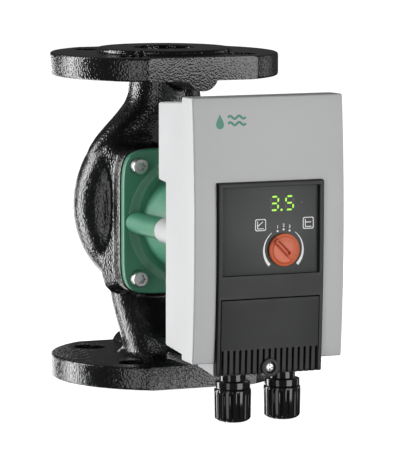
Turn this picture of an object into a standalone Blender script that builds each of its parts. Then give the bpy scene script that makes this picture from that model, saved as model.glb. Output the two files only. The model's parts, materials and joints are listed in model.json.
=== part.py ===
"""Circulator pump: a wet-rotor inline heating pump with pipe flanges and an electronic module.

Frame: the origin is the centre of the lower flange's raised face, on the pipe axis. +Z runs up along
the pipe, -Y points to the control panel and +X is to the right of somebody who faces the panel. The
motor axis is parallel to Y and crosses the pipe axis half way up. All lengths are in metres.
"""

import math

import bmesh
import bpy
from mathutils import Matrix, Vector

MM = 0.001
GAP = 0.3 * MM  # between pieces that touch in the real pump
RUNNING_GAP = 0.4 * MM  # between turning pieces and their bearings
OVERRUN = 3 * MM  # how far a cutter runs past the face that it opens

# Pipe connections
FACE_TO_FACE = 220 * MM
FLANGE_RADIUS = 75 * MM
FLANGE_THICKNESS = 15 * MM
RAISED_FACE_RADIUS = 44 * MM
RAISED_FACE_HEIGHT = 3 * MM
PORT_RADIUS = 20 * MM
FLANGE_FLAT = 64.6 * MM  # distance of the two flats from the pipe axis
FLANGE_EDGE = 1.5 * MM
SLOT_CENTRE_RADIUS = 53.5 * MM
SLOT_RADIUS = 9 * MM
SLOT_SHIFT = 3 * MM  # between the slot's two end centres
BOSS_RADIUS = 10.8 * MM
NECK_RADIUS = 23.5 * MM

# Motor
MOTOR_AXIS_Z = FACE_TO_FACE / 2
BARREL_RADIUS = 35.5 * MM
MOTOR_FLANGE_HALF_X = BARREL_RADIUS + 10.3 * MM
MOTOR_FLANGE_HALF_Z = BARREL_RADIUS + 11.5 * MM
SQUARENESS = 7  # exponent of the flange's rounded-square outline
MOTOR_FLANGE_THICKNESS = 5.7 * MM
BARREL_FRONT = -105 * MM
BARREL_WALL = 3.5 * MM
PILLAR_RADIUS = 7 * MM
PILLAR_X = BARREL_RADIUS + 2.3 * MM
PILLAR_FRONT = -91 * MM
SCREW_X = BARREL_RADIUS + 1.1 * MM
SCREW_Z = BARREL_RADIUS + 1 * MM
SCREW_HEAD_RADIUS = 5.5 * MM
SCREW_HEAD_HEIGHT = 6.5 * MM
SCREW_RADIUS = 3 * MM
SHAFT_RADIUS = 5 * MM
ROTOR_RADIUS = 18.5 * MM
ROTOR_LENGTH = 48 * MM
CAN_WALL = 0.8 * MM
STATOR_LENGTH = 44 * MM
COILS = 6
IMPELLER_RADIUS = 33 * MM
IMPELLER_NECK_RADIUS = 16.6 * MM
BLADES = 6

# Casing
CASING_WALL = 5 * MM
BLOCK_FRONT = -36 * MM
BLOCK_BACK = -12 * MM
CHAMBER_RADIUS = IMPELLER_RADIUS + 2 * MM
CHAMBER_BACK = 5 * MM
SEAT_FACE = -24 * MM  # shoulder that the gasket and the bearing plate rest on
SEAT_RADIUS = BARREL_RADIUS + 8.7 * MM
EYE_RADIUS = IMPELLER_NECK_RADIUS + RUNNING_GAP
DUCT_CENTRE_Y = 25.5 * MM
CHANNEL_CENTRE_Y = -2.5 * MM
DUCT_SIDES = 24

# Module
MODULE_SIDE = 13.2 * MM  # from a pillar to the module's side
MODULE_HALF_WIDTH = PILLAR_X + MODULE_SIDE
SHELL_WALL = 2.5 * MM
SEAM_Y = -147.5 * MM
SHELL_BACK_UPPER = -109 * MM
SHELL_BACK_LOWER = -120.5 * MM
SHELL_STEP_Z = MOTOR_AXIS_Z + 33.5 * MM
COVER_FRONT = -167.2 * MM
COVER_TOP = MOTOR_AXIS_Z + 89.4 * MM
COVER_BOTTOM = MOTOR_AXIS_Z - 75.5 * MM
PANEL_HALF_WIDTH = 36 * MM
PANEL_TOP = MOTOR_AXIS_Z + 36.7 * MM
PANEL_BOTTOM = MOTOR_AXIS_Z - 83.4 * MM
PANEL_SPLIT = MOTOR_AXIS_Z - 36 * MM
PANEL_SIDE = 2.4 * MM
PANEL_FRONT = -169.6 * MM
WINDOW_HALF_WIDTH = 33.2 * MM
WINDOW_BOTTOM = MOTOR_AXIS_Z - 21.5 * MM
WINDOW_TOP = MOTOR_AXIS_Z + 34 * MM
KNOB_X = 9.15 * MM
KNOB_Z = MOTOR_AXIS_Z - 6.1 * MM
KNOB_RADIUS = 10.3 * MM
BOX_WALL = 2.5 * MM
COVER_SCREW_Z = MOTOR_AXIS_Z - 79.4 * MM
GLAND_X = 17 * MM
GLAND_Y = -149 * MM
GLAND_COLLAR_RADIUS = 8.25 * MM
GLAND_LIP = 1.2 * MM
BOX_BACK = GLAND_Y + GLAND_COLLAR_RADIUS + GLAND_LIP + BOX_WALL + GAP
GLAND_RING_RADIUS = 11 * MM
GLAND_NUT_RADIUS = 11.65 * MM
GLAND_NUT_TOP = MOTOR_AXIS_Z - 94.1 * MM
GLAND_NUT_BOTTOM = MOTOR_AXIS_Z - 114.7 * MM
FLUTES = 16

# Volute spiral
SPIRAL_START = 50  # degrees above +X, at the tongue
SPIRAL_TURN = 300
SPIRAL_STEP = 25

# Wear ring and impeller
WEAR_RING_OUTSIDE = IMPELLER_NECK_RADIUS + 3.6 * MM
WEAR_RING_BACK = 13 * MM
IMPELLER_FRONT = -9.5 * MM
IMPELLER_PLATE = 2 * MM
IMPELLER_OUTLET = 7 * MM
HUB_RADIUS = 8 * MM

# Rotor, bearings and can
SHAFT_FRONT = -97 * MM
SHAFT_BACK = 0
ROTOR_FRONT = -86 * MM
BUSH_RADIUS = 8 * MM
PLATE_SHEET = 1.6 * MM
PLATE_RIM_RADIUS = SEAT_RADIUS - 6.6 * MM
PLATE_RIM_FRONT = SEAT_FACE - GAP - PLATE_SHEET
CAN_FLANGE_BACK = PLATE_RIM_FRONT - GAP
CAN_FLANGE_SHEET = 1.6 * MM
CAN_FLANGE_RADIUS = SEAT_RADIUS - 0.8 * MM
CAN_FLANGE_FRONT = CAN_FLANGE_BACK - CAN_FLANGE_SHEET
CAN_RADIUS = ROTOR_RADIUS + 2 * RUNNING_GAP + CAN_WALL
CAN_SHOULDER = ROTOR_FRONT - 3 * MM
CAN_END = -100 * MM
BUSH_LENGTH = 14 * MM
HUB_PLATE_BACK = IMPELLER_FRONT - 2 * MM

# Stator and motor plug
STATOR_BACK = -40 * MM
STATOR_OUTSIDE = BARREL_RADIUS - BARREL_WALL - GAP
STATOR_INSIDE = CAN_RADIUS + GAP
YOKE = 3.5 * MM
TOOTH = 7 * MM
COIL_END = 5 * MM
SCREW_END = -20.8 * MM
PLUG_HALF_X = 12 * MM
PLUG_HALF_Z = 10 * MM

# Boards and shells of the module
BOARD_BACK = -125 * MM
BLOCK_TERMINALS_FRONT = -156 * MM
BOARD_THICKNESS = 1.6 * MM
BOSS_OUTSIDE = 8.1 * MM
MODULE_SCREW_RADIUS = 2.2 * MM
MODULE_SCREW_END = PILLAR_FRONT + 14 * MM
REAR_TOP = COVER_TOP - 3.2 * MM
REAR_BOTTOM = COVER_BOTTOM + 3.6 * MM
REAR_DRAFT = 2.8 * MM

# Panel, window and digits
BOX_TOP = PANEL_SPLIT - 0.4 * MM
BOX_FRONT = -161.8 * MM
PANEL_BACK = -158 * MM
PANEL_HEIGHTS = [PANEL_BOTTOM + (PANEL_SPLIT - PANEL_BOTTOM) * i / 4 for i in range(5)]
LENS_FRONT = -167.1 * MM
LENS_BACK = -165.6 * MM
WEB_BACK = -163.4 * MM
DISPLAY_BOARD_FRONT = -159.8 * MM
ENCODER_RADIUS = 5 * MM
STEM_RADIUS = 3 * MM
DIGITS_LOW_X = -3 * MM
DIGITS_HIGH_X = 23.5 * MM
DIGITS_LOW_Z = MOTOR_AXIS_Z + 16 * MM
DIGITS_HIGH_Z = MOTOR_AXIS_Z + 30 * MM

# Knob
KNOB_BACK = LENS_FRONT - RUNNING_GAP
KNOB_RIM = 2 * MM
KNOB_WING_HEIGHT = 3.8 * MM
KNOB_WING_WIDTH = 5.2 * MM
KNOB_POINTER = 135  # degrees above +X, as it stands

# Terminal box and cover
BOX_FLOOR_TOP = MOTOR_AXIS_Z - 78 * MM
BOX_FLOOR_BACK = MOTOR_AXIS_Z - 80.5 * MM
COVER_SCREW_RADIUS = 1.7 * MM
RIB_PITCH = 4 * MM
RIB_TOP = MOTOR_AXIS_Z - 67.5 * MM
COVER_BOSS_RADIUS = 5.8 * MM
COVER_SCREW_HEAD = 3.5 * MM

# Module screws and cable glands
MODULE_SCREW_HEAD = 4.2 * MM
THREAD_RADIUS = 8.6 * MM
CABLE_RADIUS = 4.6 * MM
SEAL_RADIUS = 6.6 * MM
SEAL_TOP = MOTOR_AXIS_Z - 100.5 * MM
THREAD_BOTTOM = MOTOR_AXIS_Z - 107.5 * MM
NUT_FLOOR = MOTOR_AXIS_Z - 111.8 * MM


# ---------------------------------------------------------------- scene, materials and shape helpers


def clear_scene():
    for old in list(bpy.data.objects):
        bpy.data.objects.remove(old)


def new_collection(name):
    made = bpy.data.collections.new(name)
    bpy.context.scene.collection.children.link(made)
    return made


def new_material(name, colour, roughness, metallic=0.0):
    made = bpy.data.materials.new(name)
    made.use_nodes = True
    shader = made.node_tree.nodes["Principled BSDF"]
    shader.inputs["Base Color"].default_value = (*colour, 1)
    shader.inputs["Roughness"].default_value = roughness
    shader.inputs["Metallic"].default_value = metallic
    return made


def new_object(name, mesh_builder):
    """An object made of what the bmesh holds. It starts as a helper and keep() makes it a part."""
    bmesh.ops.recalc_face_normals(mesh_builder, faces=mesh_builder.faces)
    mesh = bpy.data.meshes.new(name)
    mesh_builder.to_mesh(mesh)
    mesh_builder.free()
    made = bpy.data.objects.new(name, mesh)
    cutters.objects.link(made)
    made.hide_render = True
    made.display_type = "WIRE"
    return made


def keep(made, material, origin=None):
    """Moves a finished object from the helpers to the pump, with its origin where it turns or slides."""
    cutters.objects.unlink(made)
    pump.objects.link(made)
    made.hide_render = False
    made.display_type = "TEXTURED"
    made.data.materials.append(material)
    if origin is not None:
        shift = made.rotation_euler.to_matrix().inverted() @ (made.location - Vector(origin))
        made.data.transform(Matrix.Translation(shift))
        made.location = origin
    return made


def box(name, low, high):
    low, high = Vector(low), Vector(high)
    builder = bmesh.new()
    bmesh.ops.create_cube(builder, size=1, matrix=Matrix.Diagonal((*(high - low), 1)))
    bmesh.ops.translate(builder, verts=builder.verts, vec=(low + high) / 2)
    return new_object(name, builder)


def boxes(name, corners):
    """Several separate boxes in one helper, which all cut the same piece."""
    builder = bmesh.new()
    for low, high in corners:
        low, high = Vector(low), Vector(high)
        matrix = Matrix.Translation((low + high) / 2) @ Matrix.Diagonal((*(high - low), 1))
        bmesh.ops.create_cube(builder, size=1, matrix=matrix)
    return new_object(name, builder)


def cylinder(name, start, end, radius, sides=24, end_radius=None):
    """A cylinder or cone between two points, with a flat of its outline facing up."""
    start, end = Vector(start), Vector(end)
    along = end - start
    turn = along.to_track_quat("Z", "Y").to_matrix().to_4x4()
    matrix = Matrix.Translation((start + end) / 2) @ turn @ Matrix.Rotation(math.pi / sides, 4, "Z")
    builder = bmesh.new()
    bmesh.ops.create_cone(
        builder,
        cap_ends=True,
        segments=sides,
        radius1=radius,
        radius2=radius if end_radius is None else end_radius,
        depth=along.length,
        matrix=matrix,
    )
    return new_object(name, builder)


def turned(name, outline, centre, along="Y", sides=32):
    """A turned solid. The outline holds (radius, place along the axis) points around its section, and
    an outline that starts and ends on the axis stays open there."""
    area = 0
    for (r0, h0), (r1, h1) in zip(outline, outline[1:] + outline[:1]):
        area += r0 * h1 - r1 * h0
    if area > 0:
        outline = outline[::-1]
    builder = bmesh.new()
    points = [builder.verts.new((radius, 0, height)) for radius, height in outline]
    for first, second in zip(points, points[1:]):
        builder.edges.new((first, second))
    if outline[0][0] > 0 or outline[-1][0] > 0:
        builder.edges.new((points[-1], points[0]))
    made = new_object(name, builder)
    screw = made.modifiers.new("turn", "SCREW")
    screw.axis = "Z"
    screw.steps = sides
    screw.render_steps = sides
    screw.use_merge_vertices = True
    screw.merge_threshold = 0.00001
    screw.use_smooth_shade = True
    made.location = centre
    if along == "Y":
        made.rotation_euler = (-math.pi / 2, 0, 0)
    return made


def prism(name, outline, low, high, along):
    """A flat outline carried from low to high along Y, with (x, z) points, or along X, with (y, z)."""
    builder = bmesh.new()
    if along == "Y":
        corners = [builder.verts.new((a, low, b)) for a, b in outline]
        way = Vector((0, high - low, 0))
    elif along == "X":
        corners = [builder.verts.new((low, a, b)) for a, b in outline]
        way = Vector((high - low, 0, 0))
    else:
        corners = [builder.verts.new((a, b, low)) for a, b in outline]
        way = Vector((0, 0, high - low))
    face = builder.faces.new(corners)
    grown = bmesh.ops.extrude_face_region(builder, geom=[face], use_keep_orig=True)
    moved = [item for item in grown["geom"] if isinstance(item, bmesh.types.BMVert)]
    bmesh.ops.translate(builder, verts=moved, vec=way)
    return new_object(name, builder)


def loft(name, rings):
    """A closed solid through rings that have the same number of points."""
    builder = bmesh.new()
    rows = [[builder.verts.new(point) for point in ring] for ring in rings]
    for first, second in zip(rows, rows[1:]):
        for i in range(len(first)):
            j = (i + 1) % len(first)
            builder.faces.new((first[i], first[j], second[j], second[i]))
    builder.faces.new(rows[0])
    builder.faces.new(rows[-1])
    return new_object(name, builder)


def bevel(made, width, segments=1, angle=40):
    modifier = made.modifiers.new("bevel", "BEVEL")
    modifier.width = width
    modifier.segments = segments
    modifier.limit_method = "ANGLE"
    modifier.angle_limit = math.radians(angle)
    return made


def combine(made, others, operation, solver="EXACT"):
    for other in others:
        modifier = made.modifiers.new(other.name, "BOOLEAN")
        modifier.operation = operation
        modifier.solver = solver
        modifier.object = other
    return made


def cut(made, *others):
    return combine(made, others, "DIFFERENCE")


def join(made, *others):
    return combine(made, others, "UNION")


def ellipse_ring(centre, half_x, half_y, count):
    """A level ellipse around a vertical duct."""
    x, y, z = centre
    ring = []
    for i in range(count):
        turn = 2 * math.pi * i / count
        ring.append((x + half_x * math.cos(turn), y + half_y * math.sin(turn), z))
    return ring


def spiral_ring(angle, inner, outer, half_y, centre_y, count):
    """An oval section of the volute, in the plane through the motor axis at this angle."""
    middle, half = (inner + outer) / 2, (outer - inner) / 2
    ring = []
    for i in range(count):
        turn = 2 * math.pi * i / count
        radius = middle + half * math.cos(turn)
        y = centre_y + half_y * math.sin(turn)
        ring.append((radius * math.cos(angle), y, MOTOR_AXIS_Z + radius * math.sin(angle)))
    return ring


def rounded_square(half_x, half_z, count=36):
    """The motor flange's outline: a square with bowed sides and round corners."""
    outline = []
    for i in range(count):
        turn = 2 * math.pi * (i + 0.5) / count
        c, s = math.cos(turn), math.sin(turn)
        reach = (abs(c) ** SQUARENESS + abs(s) ** SQUARENESS) ** (-1 / SQUARENESS)
        outline.append((half_x * reach * c, MOTOR_AXIS_Z + half_z * reach * s))
    return outline


def motor_screw_places():
    return [(x, MOTOR_AXIS_Z + z) for x in (-SCREW_X, SCREW_X) for z in (-SCREW_Z, SCREW_Z)]


# ---------------------------------------------------------------- casing and hydraulics


def casing_radius(turned_by):
    """Outer radius of the volute after this many degrees from its tongue, where it starts."""
    return (46 + 0.0235 * turned_by + 0.00021 * turned_by**2) * MM


def volute_outside():
    rings = []
    for turned_by in range(0, SPIRAL_TURN + 1, SPIRAL_STEP):
        outer = casing_radius(turned_by)
        width = (34 + 0.04 * turned_by) * MM
        half_y = (17 + 0.025 * turned_by) * MM
        angle = math.radians(SPIRAL_START - turned_by)
        rings.append(spiral_ring(angle, outer - width, outer, half_y, 0, 14))
    return loft("volute_outside", rings)


def volute_inside():
    rings = []
    for turned_by in range(0, SPIRAL_TURN + 1, SPIRAL_STEP):
        outer = casing_radius(turned_by) - CASING_WALL
        half_y = (6.5 + 0.028 * turned_by) * MM
        angle = math.radians(SPIRAL_START - turned_by)
        inner = CHAMBER_RADIUS - 3 * MM
        rings.append(spiral_ring(angle, inner, outer, half_y, CHANNEL_CENTRE_Y, 10))
    return loft("volute_inside", rings)


def discharge_neck():
    """From the volute's end up to the top flange."""
    top = FACE_TO_FACE - RAISED_FACE_HEIGHT - FLANGE_THICKNESS / 2
    shape = [  # percent of the way down to the motor axis, reach beyond the neck to the left and right
        (4, 0, 0),
        (13, 0.5, 0.3),
        (17, 1.7, 1.2),
        (21, 3.8, 2.8),
        (25, 7.1, 5),
        (29, 10.5, 7),
        (37, 18, 10),
        (46, 25.5, 12),
        (57, 31, 14),
        (76, 33, 14),
    ]
    underside = FACE_TO_FACE - RAISED_FACE_HEIGHT - FLANGE_THICKNESS
    rings = [ellipse_ring((0, 0, top), NECK_RADIUS, NECK_RADIUS, DUCT_SIDES)]
    for percent, left, right in shape:
        middle, half = (right - left) / 2 * MM, NECK_RADIUS + (left + right) / 2 * MM
        height = underside + (MOTOR_AXIS_Z - underside) * percent / 100
        rings.append(ellipse_ring((middle, 0, height), half, NECK_RADIUS, DUCT_SIDES))
    return loft("discharge_neck", rings)


def discharge_bore():
    rings = [ellipse_ring((0, 0, FACE_TO_FACE + OVERRUN), PORT_RADIUS, PORT_RADIUS, DUCT_SIDES)]
    shape = [  # percent of the way down to the motor axis, shift, half widths
        (29, 0, 20, 20),
        (38, -1, 21, 18.5),
        (47, -4, 23, 16.5),
        (56, -8, 22, 15),
        (67, -14, 17, 14),
        (75, -16, 10, 12),
    ]
    for percent, shift, half_x, half_y in shape:
        y = CHANNEL_CENTRE_Y if percent > 40 else 0
        centre = (shift * MM, y, FACE_TO_FACE - (FACE_TO_FACE - MOTOR_AXIS_Z) * percent / 100)
        rings.append(ellipse_ring(centre, half_x * MM, half_y * MM, DUCT_SIDES))
    return loft("discharge_bore", rings)


SUCTION_PATH = [  # percent of the motor axis height, set-back, outer and inner half widths in X and Y
    (11, 0, 27, 27, 20, 20),
    (20, 0.5, 27, 27, 20, 20),
    (27, 4, 27.5, 27, 20.5, 20),
    (36, 11, 28, 26, 21.5, 19),
    (47, 18.5, 28.5, 24, 22.5, 17),
    (58, 23.5, 28.5, 21.5, 23, 15),
    (73, 25.5, 28, 20, 22.5, 14.5),
    (87, 25.5, 27, 20, 21.5, 14.5),
    (102, 25.5, 25, 19.5, 19.5, 14),
    (113, 25, 20, 17, 14.5, 11.5),
    (118, 24.5, 14.5, 13, 7, 6),
    (122, 24, 7, 7, 0, 0),
]


def suction_duct():
    rings = []
    for percent, back, half_x, half_y, _, _ in SUCTION_PATH:
        height = MOTOR_AXIS_Z * percent / 100
        rings.append(ellipse_ring((0, back * MM, height), half_x * MM, half_y * MM, DUCT_SIDES))
    return loft("suction_duct", rings)


def suction_bore():
    rings = [ellipse_ring((0, 0, -OVERRUN), PORT_RADIUS, PORT_RADIUS, DUCT_SIDES)]
    for percent, back, _, _, half_x, half_y in SUCTION_PATH[:-1]:
        height = MOTOR_AXIS_Z * percent / 100
        rings.append(ellipse_ring((0, back * MM, height), half_x * MM, half_y * MM, DUCT_SIDES))
    return loft("suction_bore", rings)


def flange(name, face, way):
    """A pipe flange whose raised face lies at this height; way is +1 when its body is above it."""
    inner = face + way * RAISED_FACE_HEIGHT
    outer = inner + way * FLANGE_THICKNESS
    outline = [
        (0, face),
        (RAISED_FACE_RADIUS, face),
        (RAISED_FACE_RADIUS, inner),
        (FLANGE_RADIUS - FLANGE_EDGE, inner),
        (FLANGE_RADIUS, inner + way * FLANGE_EDGE),
        (FLANGE_RADIUS, outer - way * FLANGE_EDGE),
        (FLANGE_RADIUS - FLANGE_EDGE, outer),
        (0, outer),
    ]
    return turned(name, outline, (0, 0, 0), along="Z", sides=48)


def flange_bosses(name, height):
    """The half-round boss that runs from one flat, through the neck, to the other."""
    reach = FLANGE_FLAT - GAP
    return cylinder(name, (0, -reach, height), (0, reach, height), BOSS_RADIUS, sides=14)


def flange_flats():
    span = FLANGE_RADIUS + OVERRUN
    corners = []
    for side in (-1, 1):
        for low, high in ((-OVERRUN, 30 * MM), (FACE_TO_FACE - 30 * MM, FACE_TO_FACE + OVERRUN)):
            near, far = sorted((side * FLANGE_FLAT, side * span))
            corners.append(((-span, near, low), (span, far, high)))
    return boxes("flange_flats", corners)


def flange_slots():
    """Radial bolt slots, four in each flange."""
    builder = bmesh.new()
    half = FLANGE_THICKNESS + 2 * RAISED_FACE_HEIGHT
    lower_middle = RAISED_FACE_HEIGHT + FLANGE_THICKNESS / 2
    for middle in (lower_middle, FACE_TO_FACE - lower_middle):
        for quarter in range(4):
            turn = math.radians(45 + 90 * quarter)
            ring = []
            for i in range(16):
                around = 2 * math.pi * (i + 0.5) / 16
                shift = SLOT_SHIFT / 2 if math.cos(around) > 0 else -SLOT_SHIFT / 2
                radial = SLOT_CENTRE_RADIUS + shift + SLOT_RADIUS * math.cos(around)
                across = SLOT_RADIUS * math.sin(around)
                x = radial * math.cos(turn) - across * math.sin(turn)
                y = radial * math.sin(turn) + across * math.cos(turn)
                ring.append(builder.verts.new((x, y, middle - half / 2)))
            face = builder.faces.new(ring)
            grown = bmesh.ops.extrude_face_region(builder, geom=[face], use_keep_orig=True)
            moved = [item for item in grown["geom"] if isinstance(item, bmesh.types.BMVert)]
            bmesh.ops.translate(builder, verts=moved, vec=(0, 0, half))
    return new_object("flange_slots", builder)


def pump_housing():
    made = flange("pump_housing", 0, 1)
    bottom_boss = RAISED_FACE_HEIGHT + BOSS_RADIUS + GAP
    rings = []
    for y, margin in ((BLOCK_FRONT, GAP), (BLOCK_BACK, CASING_WALL)):
        square = rounded_square(MOTOR_FLANGE_HALF_X + margin, MOTOR_FLANGE_HALF_Z + margin)
        rings.append([(x, y, z) for x, z in square])
    block = loft("motor_block", rings)
    core = turned(
        "casing_core",
        [
            (0, -30 * MM),
            (40 * MM, -30 * MM),
            (46 * MM, -16 * MM),
            (45 * MM, 8 * MM),
            (34 * MM, 21 * MM),
            (0, 22 * MM),
        ],
        (0, 0, MOTOR_AXIS_Z),
        sides=32,
    )
    bodies = [
        flange("top_flange", FACE_TO_FACE, -1),
        suction_duct(),
        flange_bosses("bottom_bosses", bottom_boss),
        flange_bosses("top_bosses", FACE_TO_FACE - bottom_boss),
        volute_outside(),
        core,
        discharge_neck(),
        block,
    ]
    front_bore = turned(
        "front_bore",
        [
            (0, BLOCK_FRONT - OVERRUN),
            (SEAT_RADIUS, BLOCK_FRONT - OVERRUN),
            (SEAT_RADIUS, SEAT_FACE),
            (CHAMBER_RADIUS, SEAT_FACE),
            (CHAMBER_RADIUS, CHAMBER_BACK),
            (WEAR_RING_OUTSIDE + GAP, CHAMBER_BACK),
            (WEAR_RING_OUTSIDE + GAP, WEAR_RING_BACK + GAP),
            (EYE_RADIUS, WEAR_RING_BACK + GAP),
            (EYE_RADIUS, DUCT_CENTRE_Y),
            (0, DUCT_CENTRE_Y),
        ],
        (0, 0, MOTOR_AXIS_Z),
        sides=36,
    )
    tapped = []
    for i, (x, z) in enumerate(motor_screw_places()):
        start = (x, BLOCK_FRONT - OVERRUN, z)
        end = (x, SCREW_END + GAP, z)
        tapped.append(cylinder(f"tapped_hole_{i + 1}", start, end, SCREW_RADIUS + GAP, sides=12))
    ways = [discharge_bore(), suction_bore(), volute_inside(), front_bore]
    hollows = [flange_flats(), flange_slots(), *ways]
    # The lofts cross at grazing angles, which the exact solver can leave open.
    combine(made, bodies, "UNION", "MANIFOLD")
    combine(made, hollows + tapped, "DIFFERENCE", "MANIFOLD")
    return keep(made, cast_iron)


def wear_ring():
    inside = IMPELLER_NECK_RADIUS + RUNNING_GAP
    front = CHAMBER_BACK + GAP
    outline = [
        (inside, front),
        (WEAR_RING_OUTSIDE, front),
        (WEAR_RING_OUTSIDE, WEAR_RING_BACK),
        (inside, WEAR_RING_BACK),
    ]
    return keep(turned("wear_ring", outline, (0, 0, MOTOR_AXIS_Z)), steel)


def impeller():
    """A closed wheel: hub plate, bent blades and shroud with the suction neck."""
    plate_back = IMPELLER_FRONT + IMPELLER_PLATE
    shroud_front = plate_back + IMPELLER_OUTLET
    neck_back = WEAR_RING_BACK - 2 * MM
    neck_inside = IMPELLER_NECK_RADIUS - 1.8 * MM
    hub = turned(
        "impeller",
        [
            (SHAFT_RADIUS + GAP, IMPELLER_FRONT),
            (IMPELLER_RADIUS, IMPELLER_FRONT),
            (IMPELLER_RADIUS, plate_back),
            (HUB_RADIUS + 3 * MM, plate_back),
            (HUB_RADIUS, plate_back + 6 * MM),
            (SHAFT_RADIUS + GAP, plate_back + 8 * MM),
        ],
        (0, 0, MOTOR_AXIS_Z),
    )
    shroud = turned(
        "impeller_shroud",
        [
            (IMPELLER_RADIUS, shroud_front),
            (IMPELLER_RADIUS, shroud_front + 1.6 * MM),
            (IMPELLER_NECK_RADIUS + 3 * MM, CHAMBER_BACK - 1 * MM),
            (IMPELLER_NECK_RADIUS, CHAMBER_BACK - 0.4 * MM),
            (IMPELLER_NECK_RADIUS, neck_back),
            (neck_inside, neck_back),
            (neck_inside, shroud_front + 2 * MM),
            (IMPELLER_NECK_RADIUS + 1 * MM, shroud_front),
        ],
        (0, 0, MOTOR_AXIS_Z),
    )
    blades = []
    for blade in range(BLADES):
        inner_side, outer_side = [], []
        for i in range(5):
            share = i / 4
            radius = 13 * MM + share * (IMPELLER_RADIUS - 13.5 * MM)
            turn = 2 * math.pi * blade / BLADES - math.radians(75) * share
            half = math.atan2(0.9 * MM, radius)
            for side, sign in ((inner_side, -1), (outer_side, 1)):
                x = radius * math.cos(turn + sign * half)
                z = MOTOR_AXIS_Z + radius * math.sin(turn + sign * half)
                side.append((x, z))
        outline = inner_side + outer_side[::-1]
        name = f"blade_{blade + 1}"
        blades.append(prism(name, outline, plate_back - 0.5 * MM, shroud_front + 0.6 * MM, "Y"))
    join(hub, *blades, shroud)
    return keep(hub, black_plastic, (0, IMPELLER_FRONT, MOTOR_AXIS_Z))


def rotor_shaft():
    start, end = (0, SHAFT_FRONT, MOTOR_AXIS_Z), (0, SHAFT_BACK, MOTOR_AXIS_Z)
    made = cylinder("rotor_shaft", start, end, SHAFT_RADIUS, sides=24)
    return keep(bevel(made, 0.6 * MM), ceramic, (0, SHAFT_FRONT, MOTOR_AXIS_Z))


def rotor_magnet():
    inside = SHAFT_RADIUS + GAP
    back = ROTOR_FRONT + ROTOR_LENGTH
    chamfer = 1 * MM
    outline = [
        (inside, ROTOR_FRONT),
        (ROTOR_RADIUS - chamfer, ROTOR_FRONT),
        (ROTOR_RADIUS, ROTOR_FRONT + chamfer),
        (ROTOR_RADIUS, back - chamfer),
        (ROTOR_RADIUS - chamfer, back),
        (inside, back),
    ]
    made = turned("rotor_magnet", outline, (0, 0, MOTOR_AXIS_Z))
    return keep(made, steel)


def thrust_disc():
    inside = SHAFT_RADIUS + GAP
    front = ROTOR_FRONT + ROTOR_LENGTH + GAP
    back = front + 4 * MM
    outline = [(inside, front), (12 * MM, front), (12 * MM, back), (inside, back)]
    return keep(turned("thrust_disc", outline, (0, 0, MOTOR_AXIS_Z), sides=24), ceramic)


def bushes():
    """The two carbon bearings, one in the bearing plate's hub and one in the can's end."""
    inside = SHAFT_RADIUS + GAP
    impeller_side = HUB_PLATE_BACK - 1 * MM
    motor_side = CAN_SHOULDER + 1.5 * MM
    for name, back in (("impeller_side_bearing", impeller_side), ("motor_side_bearing", motor_side)):
        length = BUSH_LENGTH if name == "impeller_side_bearing" else 8 * MM
        front = back - length
        outline = [(inside, front), (BUSH_RADIUS, front), (BUSH_RADIUS, back), (inside, back)]
        keep(turned(name, outline, (0, 0, MOTOR_AXIS_Z), sides=24), carbon)


def bearing_plate():
    """A pressed steel plate: clamped rim, dish towards the impeller and hub that holds the bush."""
    dish_radius = CHAMBER_RADIUS - 2 * MM
    dish_front = HUB_PLATE_BACK - PLATE_SHEET
    hub_inside = BUSH_RADIUS + GAP
    hub_outside = hub_inside + 1.5 * MM
    hub_front = dish_front - BUSH_LENGTH + 1 * MM
    outline = [
        (PLATE_RIM_RADIUS, PLATE_RIM_FRONT),
        (PLATE_RIM_RADIUS, PLATE_RIM_FRONT + PLATE_SHEET),
        (dish_radius, PLATE_RIM_FRONT + PLATE_SHEET),
        (dish_radius - 1 * MM, HUB_PLATE_BACK),
        (hub_inside, HUB_PLATE_BACK),
        (hub_inside, hub_front),
        (hub_outside, hub_front),
        (hub_outside, dish_front),
        (dish_radius - 1 * MM - PLATE_SHEET, dish_front),
        (dish_radius - PLATE_SHEET, PLATE_RIM_FRONT),
    ]
    return keep(turned("bearing_plate", outline, (0, 0, MOTOR_AXIS_Z)), steel)


def housing_gasket():
    """The flat ring between the can's flange and the casing's shoulder."""
    inside, outside = PLATE_RIM_RADIUS + GAP, CAN_FLANGE_RADIUS
    front, back = CAN_FLANGE_BACK + GAP, SEAT_FACE - GAP
    outline = [(inside, front), (outside, front), (outside, back), (inside, back)]
    return keep(turned("housing_gasket", outline, (0, 0, MOTOR_AXIS_Z), sides=40), rubber)


def rotor_can():
    """The thin separating can that keeps the water in the rotor space."""
    bush_outside = BUSH_RADIUS + GAP + CAN_WALL
    outline = [
        (CAN_RADIUS - CAN_WALL, CAN_FLANGE_BACK),
        (CAN_FLANGE_RADIUS, CAN_FLANGE_BACK),
        (CAN_FLANGE_RADIUS, CAN_FLANGE_FRONT),
        (CAN_RADIUS, CAN_FLANGE_FRONT),
        (CAN_RADIUS, CAN_SHOULDER - CAN_WALL),
        (bush_outside, CAN_SHOULDER - CAN_WALL),
        (bush_outside, CAN_END),
        (0, CAN_END),
        (0, CAN_END + CAN_WALL),
        (BUSH_RADIUS + GAP, CAN_END + CAN_WALL),
        (BUSH_RADIUS + GAP, CAN_SHOULDER),
        (CAN_RADIUS - CAN_WALL, CAN_SHOULDER),
    ]
    cup = outline[8:] + outline[:8]
    return keep(turned("rotor_can", cup, (0, 0, MOTOR_AXIS_Z)), steel)


# ---------------------------------------------------------------- motor


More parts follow.
